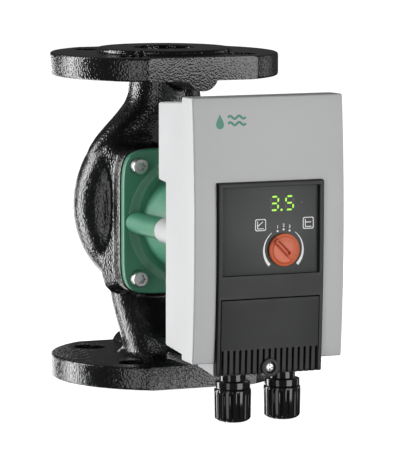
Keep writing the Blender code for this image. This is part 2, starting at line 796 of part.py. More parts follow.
def stator_core():
    """A laminated ring with six teeth; the slots between them stay open to the bore."""
    front = STATOR_BACK - STATOR_LENGTH
    outline = [
        (STATOR_INSIDE, front),
        (STATOR_OUTSIDE, front),
        (STATOR_OUTSIDE, STATOR_BACK),
        (STATOR_INSIDE, STATOR_BACK),
    ]
    made = turned("stator_core", outline, (0, 0, MOTOR_AXIS_Z), sides=60)
    slots = []
    for i in range(COILS):
        middle = 2 * math.pi * (i + 0.5) / COILS
        outer = STATOR_OUTSIDE - YOKE
        inner = STATOR_INSIDE - OVERRUN
        ring = []
        corners = [(inner, -1)] + [(outer, step / 2) for step in range(-2, 3)] + [(inner, 1)]
        for radius, sign in corners:
            half = math.pi / COILS - math.asin(TOOTH / 2 / radius)
            turn = middle + sign * half
            ring.append((radius * math.cos(turn), MOTOR_AXIS_Z + radius * math.sin(turn)))
        slots.append(prism(f"stator_slot_{i + 1}", ring, front - OVERRUN, STATOR_BACK + OVERRUN, "Y"))
    cut(made, *slots)
    return keep(made, laminations)


def stator_coils():
    """One wound coil around each tooth."""
    front = STATOR_BACK - STATOR_LENGTH
    inner = STATOR_INSIDE + 1.5 * MM
    outer = STATOR_OUTSIDE - YOKE - 2.4 * MM
    opening = TOOTH / 2 + GAP
    for i in range(COILS):
        turn = 2 * math.pi * i / COILS
        half = inner * math.sin(math.pi / COILS) - 0.6 * MM
        made = loft(
            f"stator_coil_{i + 1}",
            [
                coil_ring(inner, half, front - COIL_END, STATOR_BACK + COIL_END),
                coil_ring(outer, half, front - COIL_END, STATOR_BACK + COIL_END),
            ],
        )
        hole = box(
            f"tooth_space_{i + 1}",
            (inner - OVERRUN, front - GAP, -opening),
            (outer + OVERRUN, STATOR_BACK + GAP, opening),
        )
        for shape in (made, hole):
            shape.data.transform(Matrix.Rotation(-turn, 4, "Y"))
            shape.data.transform(Matrix.Translation((0, 0, MOTOR_AXIS_Z)))
        cut(made, hole)
        keep(made, copper)


def coil_ring(radius, half, front, back):
    """A coil's outline at this distance from the axis, with its four corners cut off."""
    corner = 2.5 * MM
    return [
        (radius, front, half - corner),
        (radius, front + corner, half),
        (radius, back - corner, half),
        (radius, back, half - corner),
        (radius, back, corner - half),
        (radius, back - corner, -half),
        (radius, front + corner, -half),
        (radius, front, corner - half),
    ]


def motor_housing():
    flange_front = BLOCK_FRONT - GAP - MOTOR_FLANGE_THICKNESS
    outline = rounded_square(MOTOR_FLANGE_HALF_X, MOTOR_FLANGE_HALF_Z)
    made = prism("motor_housing", outline, flange_front, BLOCK_FRONT - GAP, "Y")
    bevel(made, 0.9 * MM)
    band_front = flange_front - 0.5 * MM
    spigot_back = CAN_FLANGE_FRONT - GAP
    barrel = turned(
        "motor_barrel",
        [
            (0, BARREL_FRONT),
            (BARREL_RADIUS - 6 * MM, BARREL_FRONT),
            (BARREL_RADIUS - 1.5 * MM, BARREL_FRONT + 3 * MM),
            (BARREL_RADIUS, flange_front - 4 * MM),
            (BARREL_RADIUS + 1.6 * MM, band_front),
            (BARREL_RADIUS + 7.5 * MM, band_front),
            (BARREL_RADIUS + 7.5 * MM, flange_front + 2 * MM),
            (SEAT_RADIUS - 2 * GAP, flange_front + 2.5 * MM),
            (SEAT_RADIUS - 2 * GAP, spigot_back),
            (0, spigot_back),
        ],
        (0, 0, MOTOR_AXIS_Z),
        sides=40,
    )
    pillars = []
    for side in (-1, 1):
        x = side * PILLAR_X
        start, end = (x, PILLAR_FRONT, MOTOR_AXIS_Z), (x, flange_front + 1 * MM, MOTOR_AXIS_Z)
        pillars.append(cylinder(f"pillar_{side}", start, end, PILLAR_RADIUS, sides=24))
    bore = BARREL_RADIUS - BARREL_WALL
    inside = turned(
        "motor_bore",
        [
            (0, BARREL_FRONT + BARREL_WALL),
            (bore - 5 * MM, BARREL_FRONT + BARREL_WALL),
            (bore, BARREL_FRONT + BARREL_WALL + 5 * MM),
            (bore, spigot_back - 7 * MM),
            (bore + 4 * MM, spigot_back + OVERRUN),
            (0, spigot_back + OVERRUN),
        ],
        (0, 0, MOTOR_AXIS_Z),
        sides=40,
    )
    plug_way = box(
        "motor_plug_way",
        (-PLUG_HALF_X - GAP, BARREL_FRONT - OVERRUN, MOTOR_AXIS_Z - PLUG_HALF_Z - GAP),
        (PLUG_HALF_X + GAP, BARREL_FRONT + 2 * BARREL_WALL, MOTOR_AXIS_Z + PLUG_HALF_Z + GAP),
    )
    holes = []
    for i, (x, z) in enumerate(motor_screw_places()):
        start, end = (x, flange_front - OVERRUN, z), (x, BLOCK_FRONT + OVERRUN, z)
        holes.append(cylinder(f"screw_hole_{i + 1}", start, end, SCREW_RADIUS + GAP, sides=12))
    for side in (-1, 1):
        x = side * PILLAR_X
        start, end = (x, PILLAR_FRONT - OVERRUN, MOTOR_AXIS_Z), (x, MODULE_SCREW_END + GAP, MOTOR_AXIS_Z)
        holes.append(cylinder(f"pillar_hole_{side}", start, end, MODULE_SCREW_RADIUS + GAP, sides=12))
    join(made, barrel, *pillars)
    cut(made, inside, plug_way, *holes)
    return keep(made, green_paint)


def star_outline(x, z, radius, depth_share, points=6):
    outline = []
    for i in range(2 * points):
        reach = radius if i % 2 == 0 else radius * depth_share
        turn = math.pi * i / points
        outline.append((x + reach * math.cos(turn), z + reach * math.sin(turn)))
    return outline


def motor_screws():
    head_back = BLOCK_FRONT - 2 * GAP - MOTOR_FLANGE_THICKNESS
    head_front = head_back - SCREW_HEAD_HEIGHT
    for i, (x, z) in enumerate(motor_screw_places()):
        made = turned(
            f"motor_screw_{i + 1}",
            [
                (0, head_front),
                (SCREW_HEAD_RADIUS - 0.9 * MM, head_front),
                (SCREW_HEAD_RADIUS, head_front + 0.9 * MM),
                (SCREW_HEAD_RADIUS, head_back),
                (SCREW_RADIUS, head_back),
                (SCREW_RADIUS, SCREW_END),
                (0, SCREW_END),
            ],
            (x, 0, z),
            sides=14,
        )
        recess = prism(
            f"screw_recess_{i + 1}",
            star_outline(x, z, 3.2 * MM, 0.72),
            head_front - OVERRUN,
            head_front + 3 * MM,
            "Y",
        )
        keep(cut(made, recess), zinc)


# ---------------------------------------------------------------- module


def module_rear_shell():
    half = MODULE_HALF_WIDTH - 0.4 * MM
    seam = SEAM_Y + GAP / 2
    outline = [
        (seam, REAR_BOTTOM),
        (seam, REAR_TOP),
        (SHELL_BACK_UPPER, REAR_TOP - REAR_DRAFT),
        (SHELL_BACK_UPPER, SHELL_STEP_Z + 1 * MM),
        (SHELL_BACK_LOWER, SHELL_STEP_Z),
        (SHELL_BACK_LOWER, REAR_BOTTOM + REAR_DRAFT),
    ]
    made = bevel(prism("module_rear_shell", outline, -half, half, "X"), 1.8 * MM)
    wall = SHELL_WALL
    hollow_outline = [
        (seam - OVERRUN, REAR_BOTTOM + wall),
        (seam - OVERRUN, REAR_TOP - wall),
        (SHELL_BACK_UPPER - wall, REAR_TOP - REAR_DRAFT - wall),
        (SHELL_BACK_UPPER - wall, SHELL_STEP_Z + 1 * MM + wall),
        (SHELL_BACK_LOWER - wall, SHELL_STEP_Z + wall),
        (SHELL_BACK_LOWER - wall, REAR_BOTTOM + REAR_DRAFT + wall),
    ]
    hollow = prism("rear_hollow", hollow_outline, wall - half, half - wall, "X")
    cut(made, hollow)
    collar_front = SHELL_BACK_LOWER - wall / 2
    collar = turned(
        "plug_collar",
        [
            (16.5 * MM, collar_front),
            (25 * MM, collar_front),
            (23 * MM, BARREL_FRONT - GAP),
            (16.5 * MM, BARREL_FRONT - GAP),
        ],
        (0, 0, MOTOR_AXIS_Z),
        sides=32,
    )
    bosses, ways = [], []
    for side in (-1, 1):
        x = side * PILLAR_X
        inner_face = SHELL_BACK_LOWER - wall / 2
        start, end = (x, inner_face, MOTOR_AXIS_Z), (x, PILLAR_FRONT - GAP, MOTOR_AXIS_Z)
        bosses.append(cylinder(f"boss_{side}", start, end, BOSS_OUTSIDE, sides=24))
        start = (x, SHELL_BACK_LOWER - 2 * wall, MOTOR_AXIS_Z)
        end = (x, PILLAR_FRONT + OVERRUN, MOTOR_AXIS_Z)
        ways.append(cylinder(f"boss_way_{side}", start, end, MODULE_SCREW_RADIUS + GAP, sides=12))
    barrel_way = cylinder(
        "barrel_way",
        (0, BARREL_FRONT - GAP, MOTOR_AXIS_Z),
        (0, PILLAR_FRONT + OVERRUN, MOTOR_AXIS_Z),
        BARREL_RADIUS + GAP,
        sides=40,
    )
    join(made, collar, *bosses)
    plug_way = cylinder(
        "plug_way",
        (0, SHELL_BACK_LOWER - 2 * wall, MOTOR_AXIS_Z),
        (0, SHELL_BACK_LOWER + wall, MOTOR_AXIS_Z),
        16.5 * MM,
        sides=32,
    )
    box_way = box(
        "terminal_box_way",
        (-PANEL_HALF_WIDTH - GAP, SEAM_Y - OVERRUN, REAR_BOTTOM - OVERRUN),
        (PANEL_HALF_WIDTH + GAP, BOX_BACK + GAP, BOX_TOP + GAP),
    )
    cut(made, plug_way, barrel_way, box_way, *ways)
    return keep(made, light_grey)


def cover_front_at(z):
    """Depth of the front cover's crowned face at this height."""
    share = (z - MOTOR_AXIS_Z - 3 * MM) / (84 * MM)
    return COVER_FRONT + 3.7 * MM * share * share


def module_front_cover():
    half = MODULE_HALF_WIDTH
    seam = SEAM_Y - GAP / 2
    steps = 8
    front, inner = [], []
    for i in range(steps + 1):
        z = COVER_BOTTOM + (COVER_TOP - COVER_BOTTOM) * i / steps
        front.append((cover_front_at(z), z))
        z_inner = COVER_BOTTOM + SHELL_WALL + (COVER_TOP - COVER_BOTTOM - 2 * SHELL_WALL) * i / steps
        inner.append((cover_front_at(z_inner) + SHELL_WALL, z_inner))
    outline = [(seam, COVER_BOTTOM + 1 * MM)] + front + [(seam, COVER_TOP - 0.3 * MM)]
    made = bevel(prism("module_front_cover", outline, -half, half, "X"), 1.6 * MM, segments=2, angle=50)
    back = seam + OVERRUN
    hollow_outline = [(back, COVER_BOTTOM + SHELL_WALL)] + inner + [(back, COVER_TOP - SHELL_WALL)]
    hollow = prism("front_hollow", hollow_outline, SHELL_WALL - half, half - SHELL_WALL, "X")
    way = box(
        "panel_way",
        (-PANEL_HALF_WIDTH - GAP, COVER_FRONT - OVERRUN, COVER_BOTTOM - OVERRUN),
        (PANEL_HALF_WIDTH + GAP, back, PANEL_TOP + GAP),
    )
    return keep(cut(made, hollow, way), light_grey)


def module_gasket():
    """The soft frame behind the front cover's edge, above the terminal box."""
    half = MODULE_HALF_WIDTH - SHELL_WALL - 1.2 * MM
    top = REAR_TOP - SHELL_WALL - 0.8 * MM
    bottom = BOX_TOP + 2 * MM
    depth = 2.4 * MM
    width = 2.2 * MM
    made = box("module_gasket", (-half, SEAM_Y - depth, bottom), (half, SEAM_Y + depth, top))
    hole = box(
        "gasket_hole",
        (width - half, SEAM_Y - 2 * depth, bottom + width),
        (half - width, SEAM_Y + 2 * depth, top - width),
    )
    return keep(cut(made, hole), rubber)


def panel_front(z):
    """Depth of the black panel's front face at this height."""
    below = max(0, (PANEL_SPLIT + 38 * MM - z) / (PANEL_SPLIT + 38 * MM - PANEL_BOTTOM))
    return PANEL_FRONT + 3.1 * MM * below**1.6


def panel_frame():
    upper = [PANEL_SPLIT + 12 * MM, PANEL_SPLIT + 26 * MM, PANEL_SPLIT + 38 * MM, PANEL_TOP]
    heights = PANEL_HEIGHTS + upper
    outline = [(panel_front(z), z) for z in heights]
    outline = [(PANEL_BACK, PANEL_BOTTOM), *outline, (PANEL_BACK, PANEL_TOP)]
    half = PANEL_HALF_WIDTH
    made = bevel(prism("panel_frame", outline, -half, half, "X"), 0.8 * MM, angle=50)
    recess = box(
        "window_recess",
        (-WINDOW_HALF_WIDTH, -180 * MM, WINDOW_BOTTOM),
        (WINDOW_HALF_WIDTH, LENS_BACK + GAP, WINDOW_TOP),
    )
    board_pocket = box(
        "board_pocket",
        (-WINDOW_HALF_WIDTH, WEB_BACK, PANEL_SPLIT + 6 * MM),
        (WINDOW_HALF_WIDTH, PANEL_BACK + OVERRUN, WINDOW_TOP),
    )
    side = half - PANEL_SIDE
    cover_way = box(
        "cover_way",
        (-side, -180 * MM, PANEL_BOTTOM - OVERRUN),
        (side, PANEL_BACK + OVERRUN, PANEL_SPLIT + GAP),
    )
    strips_back = box(
        "strips_back",
        (-half - OVERRUN, BOX_FRONT - GAP, PANEL_BOTTOM - OVERRUN),
        (half + OVERRUN, PANEL_BACK + OVERRUN, PANEL_SPLIT + GAP),
    )
    digits_way = box("digits_way", *digits_space(GAP))
    knob_way = cylinder(
        "knob_way",
        (KNOB_X, PANEL_FRONT - 2 * OVERRUN, KNOB_Z),
        (KNOB_X, PANEL_BACK, KNOB_Z),
        ENCODER_RADIUS + GAP,
        sides=24,
    )
    cut(made, recess, board_pocket, cover_way, strips_back, digits_way, knob_way)
    return keep(made, dark_plastic)


def digits_space(margin):
    """Corners of the digit display behind the lens, grown by a margin on its sides."""
    low = (DIGITS_LOW_X - margin, LENS_BACK + GAP, DIGITS_LOW_Z - margin)
    high = (DIGITS_HIGH_X + margin, DISPLAY_BOARD_FRONT - GAP + margin, DIGITS_HIGH_Z + margin)
    return low, high


def display_pieces():
    edge = 0.3 * MM
    lens = box(
        "display_lens",
        (edge - WINDOW_HALF_WIDTH, LENS_FRONT, WINDOW_BOTTOM + edge),
        (WINDOW_HALF_WIDTH - edge, LENS_BACK, WINDOW_TOP - edge),
    )
    stem_way = cylinder(
        "stem_way",
        (KNOB_X, LENS_FRONT - 2 * OVERRUN, KNOB_Z),
        (KNOB_X, SEAM_Y, KNOB_Z),
        STEM_RADIUS + RUNNING_GAP,
        sides=20,
    )
    keep(cut(lens, stem_way), lens_black)
    keep(box("digit_display", *digits_space(0)), green_light)
    board = box(
        "display_board",
        (1 * MM - WINDOW_HALF_WIDTH, DISPLAY_BOARD_FRONT, PANEL_SPLIT + 7 * MM),
        (WINDOW_HALF_WIDTH - 1 * MM, DISPLAY_BOARD_FRONT + BOARD_THICKNESS, WINDOW_TOP - 1 * MM),
    )
    keep(board, board_green)
    encoder = cylinder(
        "knob_encoder",
        (KNOB_X, LENS_BACK + GAP, KNOB_Z),
        (KNOB_X, DISPLAY_BOARD_FRONT - GAP, KNOB_Z),
        ENCODER_RADIUS - GAP,
        sides=24,
    )
    socket = cylinder(
        "encoder_socket",
        (KNOB_X, LENS_BACK - OVERRUN, KNOB_Z),
        (KNOB_X, DISPLAY_BOARD_FRONT - 2 * MM, KNOB_Z),
        STEM_RADIUS + RUNNING_GAP,
        sides=20,
    )
    keep(cut(encoder, socket), zinc)


def setting_knob():
    """A low dome with a wing across it; the wing's pointer slot runs out past the middle."""
    rim_front = KNOB_BACK - KNOB_RIM
    stem_back = DISPLAY_BOARD_FRONT - 2 * MM - RUNNING_GAP
    made = turned(
        "setting_knob",
        [
            (0, rim_front - 1.6 * MM),
            (5 * MM, rim_front - 1.3 * MM),
            (8.6 * MM, rim_front - 0.5 * MM),
            (KNOB_RADIUS - 0.7 * MM, rim_front + 0.3 * MM),
            (KNOB_RADIUS, rim_front + 1.1 * MM),
            (KNOB_RADIUS, KNOB_BACK),
            (STEM_RADIUS, KNOB_BACK),
            (STEM_RADIUS, stem_back),
            (0, stem_back),
        ],
        (KNOB_X, 0, KNOB_Z),
        sides=40,
    )
    wing_front = rim_front - KNOB_WING_HEIGHT
    base, crest = KNOB_WING_WIDTH / 2, KNOB_WING_WIDTH / 2 - 1.2 * MM
    reach = KNOB_RADIUS - 1.4 * MM
    foot = rim_front + 1 * MM
    tip = reach - 2.4 * MM
    corners = ((-1, -1), (1, -1), (1, 1), (-1, 1))
    wing = loft(
        "knob_wing",
        [
            [(i * reach, foot, j * base) for i, j in corners],
            [(i * tip, wing_front, j * crest) for i, j in corners],
        ],
    )
    slot = box(
        "knob_slot",
        (-3.8 * MM, wing_front - OVERRUN, -0.7 * MM),
        (reach + OVERRUN, wing_front + 1 * MM, 0.7 * MM),
    )
    for shape in (wing, slot):
        shape.data.transform(Matrix.Rotation(-math.radians(KNOB_POINTER), 4, "Y"))
        shape.location = (KNOB_X, 0, KNOB_Z)
    join(made, wing)
    return keep(cut(made, slot), knob_red)


def terminal_box():
    """The grey tray that carries the cable glands, open towards the terminal cover."""
    half = PANEL_HALF_WIDTH - 0.3 * MM
    outline = [
        (BOX_FRONT, PANEL_BOTTOM - 0.4 * MM),
        (BOX_FRONT, BOX_TOP),
        (BOX_BACK, BOX_TOP),
        (BOX_BACK, BOX_FLOOR_BACK),
    ]
    made = bevel(prism("terminal_box", outline, -half, half, "X"), 0.8 * MM)
    pocket = box(
        "box_pocket",
        (BOX_WALL - half, BOX_FRONT - OVERRUN, BOX_FLOOR_TOP),
        (half - BOX_WALL, BOX_BACK - BOX_WALL, BOX_TOP - BOX_WALL),
    )
    post = cylinder(
        "screw_post",
        (0, BOX_FRONT, COVER_SCREW_Z),
        (0, BOX_BACK - 1 * MM, COVER_SCREW_Z),
        4.2 * MM,
        sides=16,
    )
    cut(made, pocket)
    join(made, post)
    holes = [
        cylinder(
            "post_hole",
            (0, BOX_FRONT - OVERRUN, COVER_SCREW_Z),
            (0, BOX_FRONT + 12.3 * MM, COVER_SCREW_Z),
            COVER_SCREW_RADIUS + GAP,
            sides=12,
        )
    ]
    for side, x in (("left", -GLAND_X), ("right", GLAND_X)):
        start, end = (x, GLAND_Y, GLAND_NUT_TOP), (x, GLAND_Y, BOX_FLOOR_TOP + 2 * MM)
        holes.append(cylinder(f"gland_hole_{side}", start, end, GLAND_COLLAR_RADIUS + GAP, sides=32))
    return keep(cut(made, *holes), mid_grey)


def terminal_cover():
    """The black lid over the terminals, with ribs across its lower third and a round screw boss."""
    half = PANEL_HALF_WIDTH - PANEL_SIDE - GAP
    back = BOX_FRONT - GAP
    top = PANEL_SPLIT - 0.1 * MM
    heights = [z for z in PANEL_HEIGHTS if z < PANEL_SPLIT] + [top]
    outline = [(back, PANEL_BOTTOM)] + [(panel_front(z), z) for z in heights] + [(back, top)]
    made = bevel(prism("terminal_cover", outline, -half, half, "X"), 0.5 * MM, angle=50)
    boss_front = panel_front(PANEL_BOTTOM) - 0.9 * MM
    boss_ends = (0, boss_front, COVER_SCREW_Z), (0, back, COVER_SCREW_Z)
    boss = cylinder("cover_boss", *boss_ends, COVER_BOSS_RADIUS, sides=20)
    grooves = []
    rows = int(half / RIB_PITCH)
    for i in range(-rows, rows + 1):
        x = i * RIB_PITCH
        if abs(x) < COVER_BOSS_RADIUS + 0.5 * MM:
            continue
        low = (x - 0.9 * MM, panel_front(RIB_TOP) - 2 * MM, PANEL_BOTTOM - OVERRUN)
        high = (x + 0.9 * MM, panel_front(PANEL_BOTTOM) + 1.8 * MM, RIB_TOP)
        grooves.append((low, high))
    cut(made, boxes("cover_grooves", grooves))
    join(made, boss)
    pocket = box(
        "cover_pocket",
        (3 * MM - half, panel_front(PANEL_SPLIT) + 3.8 * MM, RIB_TOP + 2 * MM),
        (half - 3 * MM, back + OVERRUN, PANEL_SPLIT - 3 * MM),
    )
    counterbore = cylinder(
        "counterbore",
        (0, boss_front - OVERRUN, COVER_SCREW_Z),
        (0, boss_front + 2.6 * MM, COVER_SCREW_Z),
        COVER_SCREW_HEAD + GAP,
        sides=24,
    )
    hole = cylinder(
        "cover_screw_hole",
        (0, boss_front, COVER_SCREW_Z),
        (0, back + OVERRUN, COVER_SCREW_Z),
        COVER_SCREW_RADIUS + GAP,
        sides=12,
    )
    return keep(cut(made, pocket, counterbore, hole), black_plastic, (0, back, PANEL_BOTTOM))


def terminal_cover_screw():
    head_back = panel_front(PANEL_BOTTOM) - 0.9 * MM + 2.6 * MM - GAP
    head_front = head_back - 2.6 * MM
    end = -151 * MM
    made = turned(
        "terminal_cover_screw",
        [
            (0, head_front - 0.3 * MM),
            (2.2 * MM, head_front),
            (COVER_SCREW_HEAD, head_front + 0.7 * MM),
            (COVER_SCREW_HEAD, head_back),
            (COVER_SCREW_RADIUS, head_back),
            (COVER_SCREW_RADIUS, end),
            (0, end),
        ],
        (0, 0, COVER_SCREW_Z),
        sides=24,
    )
    recesses = []
    for i, (half_x, half_z) in enumerate(((2 * MM, 0.45 * MM), (0.45 * MM, 2 * MM))):
        low = (-half_x, head_front - OVERRUN, COVER_SCREW_Z - half_z)
        high = (half_x, head_front + 1.2 * MM, COVER_SCREW_Z + half_z)
        recesses.append(box(f"cross_recess_{i + 1}", low, high))
    return keep(cut(made, *recesses), zinc, (0, BOX_FRONT, COVER_SCREW_Z))


# ---------------------------------------------------------------- electronics


def electronics():
    front = BOARD_BACK - BOARD_THICKNESS
    half = MODULE_HALF_WIDTH - SHELL_WALL - 3 * MM
    board_top = REAR_TOP - REAR_DRAFT - 6 * MM
    board = box("power_board", (-half, front, BOX_TOP + 5 * MM), (half, BOARD_BACK, board_top))
    ways = []
    for side in (-1, 1):
        x = side * PILLAR_X
        start, end = (x, front - OVERRUN, MOTOR_AXIS_Z), (x, BOARD_BACK + OVERRUN, MOTOR_AXIS_Z)
        ways.append(cylinder(f"board_way_{side}", start, end, MODULE_SCREW_HEAD + 1 * MM, sides=16))
    keep(cut(board, *ways), board_green)
    for i, x in enumerate((-30 * MM, -4 * MM)):
        height = COVER_TOP - 29.4 * MM
        start, end = (x, front - GAP, height), (x, SEAM_Y - 6 * MM, height)
        can = cylinder(f"capacitor_{i + 1}", start, end, 11 * MM, sides=20)
        keep(bevel(can, 1 * MM), capacitor_black)
    choke_back, choke_front = front - GAP, front - GAP - 16 * MM
    choke = turned(
        "line_choke",
        [(6 * MM, choke_front), (14 * MM, choke_front), (14 * MM, choke_back), (6 * MM, choke_back)],
        (26 * MM, 0, COVER_TOP - 31.4 * MM),
        sides=20,
    )
    keep(choke, copper)
    heat_sink = box(
        "power_heat_sink",
        (-32 * MM, BOARD_BACK + GAP, SHELL_STEP_Z + 8 * MM),
        (32 * MM, SHELL_BACK_UPPER - SHELL_WALL - GAP, REAR_TOP - REAR_DRAFT - 8 * MM),
    )
    keep(heat_sink, aluminium)
    plug = box(
        "motor_plug",
        (-PLUG_HALF_X, BOARD_BACK + GAP, MOTOR_AXIS_Z - PLUG_HALF_Z),
        (PLUG_HALF_X, CAN_END - 1.5 * MM, MOTOR_AXIS_Z + PLUG_HALF_Z),
    )
    keep(bevel(plug, 1 * MM), black_plastic)
    block = box(
        "terminal_block",
        (-30 * MM, BLOCK_TERMINALS_FRONT, BOX_FLOOR_TOP + 16 * MM),
        (30 * MM, BOX_BACK - BOX_WALL - GAP, BOX_FLOOR_TOP + 34 * MM),
    )
    poles = []
    for i in range(6):
        x = (i - 2.5) * 9.5 * MM
        low = (x - 3.2 * MM, BLOCK_TERMINALS_FRONT - OVERRUN, BOX_FLOOR_TOP + 19 * MM)
        poles.append((low, (x + 3.2 * MM, BLOCK_TERMINALS_FRONT + 5 * MM, BOX_FLOOR_TOP + 25 * MM)))
    keep(cut(block, boxes("terminal_poles", poles)), white_plastic)


def module_screws():
    head_back = SHELL_BACK_LOWER - SHELL_WALL - GAP
    head_front = head_back - 4 * MM
    for name, x in (("module_screw_left", -PILLAR_X), ("module_screw_right", PILLAR_X)):
        made = turned(
            name,
            [
                (0, head_front),
                (MODULE_SCREW_HEAD, head_front),
                (MODULE_SCREW_HEAD, head_back),
                (MODULE_SCREW_RADIUS, head_back),
                (MODULE_SCREW_RADIUS, MODULE_SCREW_END),
                (0, MODULE_SCREW_END),
            ],
            (x, 0, MOTOR_AXIS_Z),
            sides=16,
        )
        keep(made, zinc)


# ---------------------------------------------------------------- cable glands


def fluted_ring(x, z, radius):
    """The nut's outline at this height: broad ribs with narrow grooves between them."""
    ring = []
    for i in range(FLUTES):
        for share, depth in ((0.0, 0.0), (0.62, 0.0), (0.7, 0.9 * MM), (0.92, 0.9 * MM)):
            turn = 2 * math.pi * (i + share) / FLUTES
            reach = radius - depth
            ring.append((x + reach * math.cos(turn), GLAND_Y + reach * math.sin(turn), z))
    return ring


def gland(side, x):
    inner_top = BOX_FLOOR_TOP + GAP
    body = turned(
        f"gland_body_{side}",
        [
            (CABLE_RADIUS, inner_top + 3 * MM),
            (GLAND_COLLAR_RADIUS + GLAND_LIP, inner_top + 3 * MM),
            (GLAND_COLLAR_RADIUS + GLAND_LIP, inner_top),
            (GLAND_COLLAR_RADIUS, inner_top),
            (GLAND_COLLAR_RADIUS, GLAND_NUT_TOP + 5.1 * MM),
            (GLAND_RING_RADIUS, GLAND_NUT_TOP + 4.7 * MM),
            (GLAND_RING_RADIUS, GLAND_NUT_TOP + GAP),
            (THREAD_RADIUS, GLAND_NUT_TOP + GAP),
            (THREAD_RADIUS, THREAD_BOTTOM),
            (SEAL_RADIUS + GAP, THREAD_BOTTOM),
            (SEAL_RADIUS + GAP, SEAL_TOP + GAP),
            (CABLE_RADIUS, SEAL_TOP + GAP),
        ],
        (x, GLAND_Y, 0),
        along="Z",
        sides=20,
    )
    keep(body, black_plastic)
    seal = turned(
        f"gland_seal_{side}",
        [
            (CABLE_RADIUS - 0.6 * MM, SEAL_TOP),
            (SEAL_RADIUS, SEAL_TOP),
            (SEAL_RADIUS, NUT_FLOOR + GAP),
            (CABLE_RADIUS - 0.6 * MM, NUT_FLOOR + GAP),
        ],
        (x, GLAND_Y, 0),
        along="Z",
        sides=16,
    )
    keep(seal, rubber)
    chamfer = 1.6 * MM
    nut = loft(
        f"gland_nut_{side}",
        [
            fluted_ring(x, GLAND_NUT_BOTTOM, GLAND_NUT_RADIUS - 2.4 * chamfer),
            fluted_ring(x, GLAND_NUT_BOTTOM + chamfer, GLAND_NUT_RADIUS - 0.4 * MM),
            fluted_ring(x, GLAND_NUT_TOP - 1.8 * MM, GLAND_NUT_RADIUS),
            fluted_ring(x, GLAND_NUT_TOP, GLAND_NUT_RADIUS - 0.3 * MM),
        ],
    )
    inside = turned(
        f"nut_inside_{side}",
        [
            (0, GLAND_NUT_TOP + OVERRUN),
            (THREAD_RADIUS + RUNNING_GAP, GLAND_NUT_TOP + OVERRUN),
            (THREAD_RADIUS + RUNNING_GAP, NUT_FLOOR),
            (CABLE_RADIUS + 0.4 * MM, NUT_FLOOR),
            (CABLE_RADIUS + 0.4 * MM, GLAND_NUT_BOTTOM - OVERRUN),
            (0, GLAND_NUT_BOTTOM - OVERRUN),
        ],
        (x, GLAND_Y, 0),
        along="Z",
        sides=20,
    )
    keep(cut(nut, inside), black_plastic, (x, GLAND_Y, GLAND_NUT_TOP))


# ---------------------------------------------------------------- the pump

clear_scene()
pump = new_collection("circulator_pump")
cutters = new_collection("cutters")

cast_iron = new_material("black_cast_iron", (0.012, 0.012, 0.013), 0.3)
green_paint = new_material("green_paint", (0.03, 0.24, 0.13), 0.4)
light_grey = new_material("light_grey_plastic", (0.56, 0.57, 0.58), 0.45)
mid_grey = new_material("mid_grey_plastic", (0.4, 0.41, 0.42), 0.5)
dark_plastic = new_material("dark_plastic", (0.03, 0.032, 0.033), 0.5)
black_plastic = new_material("black_plastic", (0.015, 0.015, 0.016), 0.4)
white_plastic = new_material("white_plastic", (0.7, 0.7, 0.68), 0.5)
lens_black = new_material("smoked_lens", (0.02, 0.022, 0.023), 0.25)
green_light = new_material("green_digits", (0.2, 0.8, 0.05), 0.4)
knob_red = new_material("knob_red", (0.62, 0.12, 0.045), 0.4)
board_green = new_material("circuit_board", (0.02, 0.16, 0.07), 0.5)
capacitor_black = new_material("capacitor_sleeve", (0.03, 0.03, 0.05), 0.3)
rubber = new_material("rubber", (0.02, 0.02, 0.02), 0.8)
carbon = new_material("carbon", (0.04, 0.04, 0.045), 0.5)
ceramic = new_material("ceramic", (0.75, 0.73, 0.68), 0.3)
steel = new_material("stainless_steel", (0.6, 0.6, 0.6), 0.3, 1.0)
zinc = new_material("zinc_plated_steel", (0.65, 0.65, 0.63), 0.3, 1.0)
aluminium = new_material("aluminium", (0.7, 0.7, 0.7), 0.35, 1.0)
laminations = new_material("stator_steel", (0.25, 0.25, 0.26), 0.5, 1.0)
copper = new_material("copper_winding", (0.6, 0.22, 0.07), 0.35, 1.0)

pump_housing()
wear_ring()
impeller()
rotor_shaft()
rotor_magnet()
thrust_disc()
bushes()
bearing_plate()
housing_gasket()
rotor_can()
stator_core()
stator_coils()
motor_housing()
motor_screws()
module_rear_shell()
module_front_cover()
module_gasket()
panel_frame()
display_pieces()
setting_knob()
terminal_box()
terminal_cover()
terminal_cover_screw()
electronics()
module_screws()
gland("left", -GLAND_X)
gland("right", GLAND_X)
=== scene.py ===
"""Looks of the circulator pump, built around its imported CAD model.

The frame is the CAD's: +Z runs up the pipe, -Y points to the control panel and the motor axis crosses
the pipe axis half way up. All lengths are in metres.
"""

import json
import math

import bmesh
import bpy
import numpy as np
from mathutils import Matrix, Vector


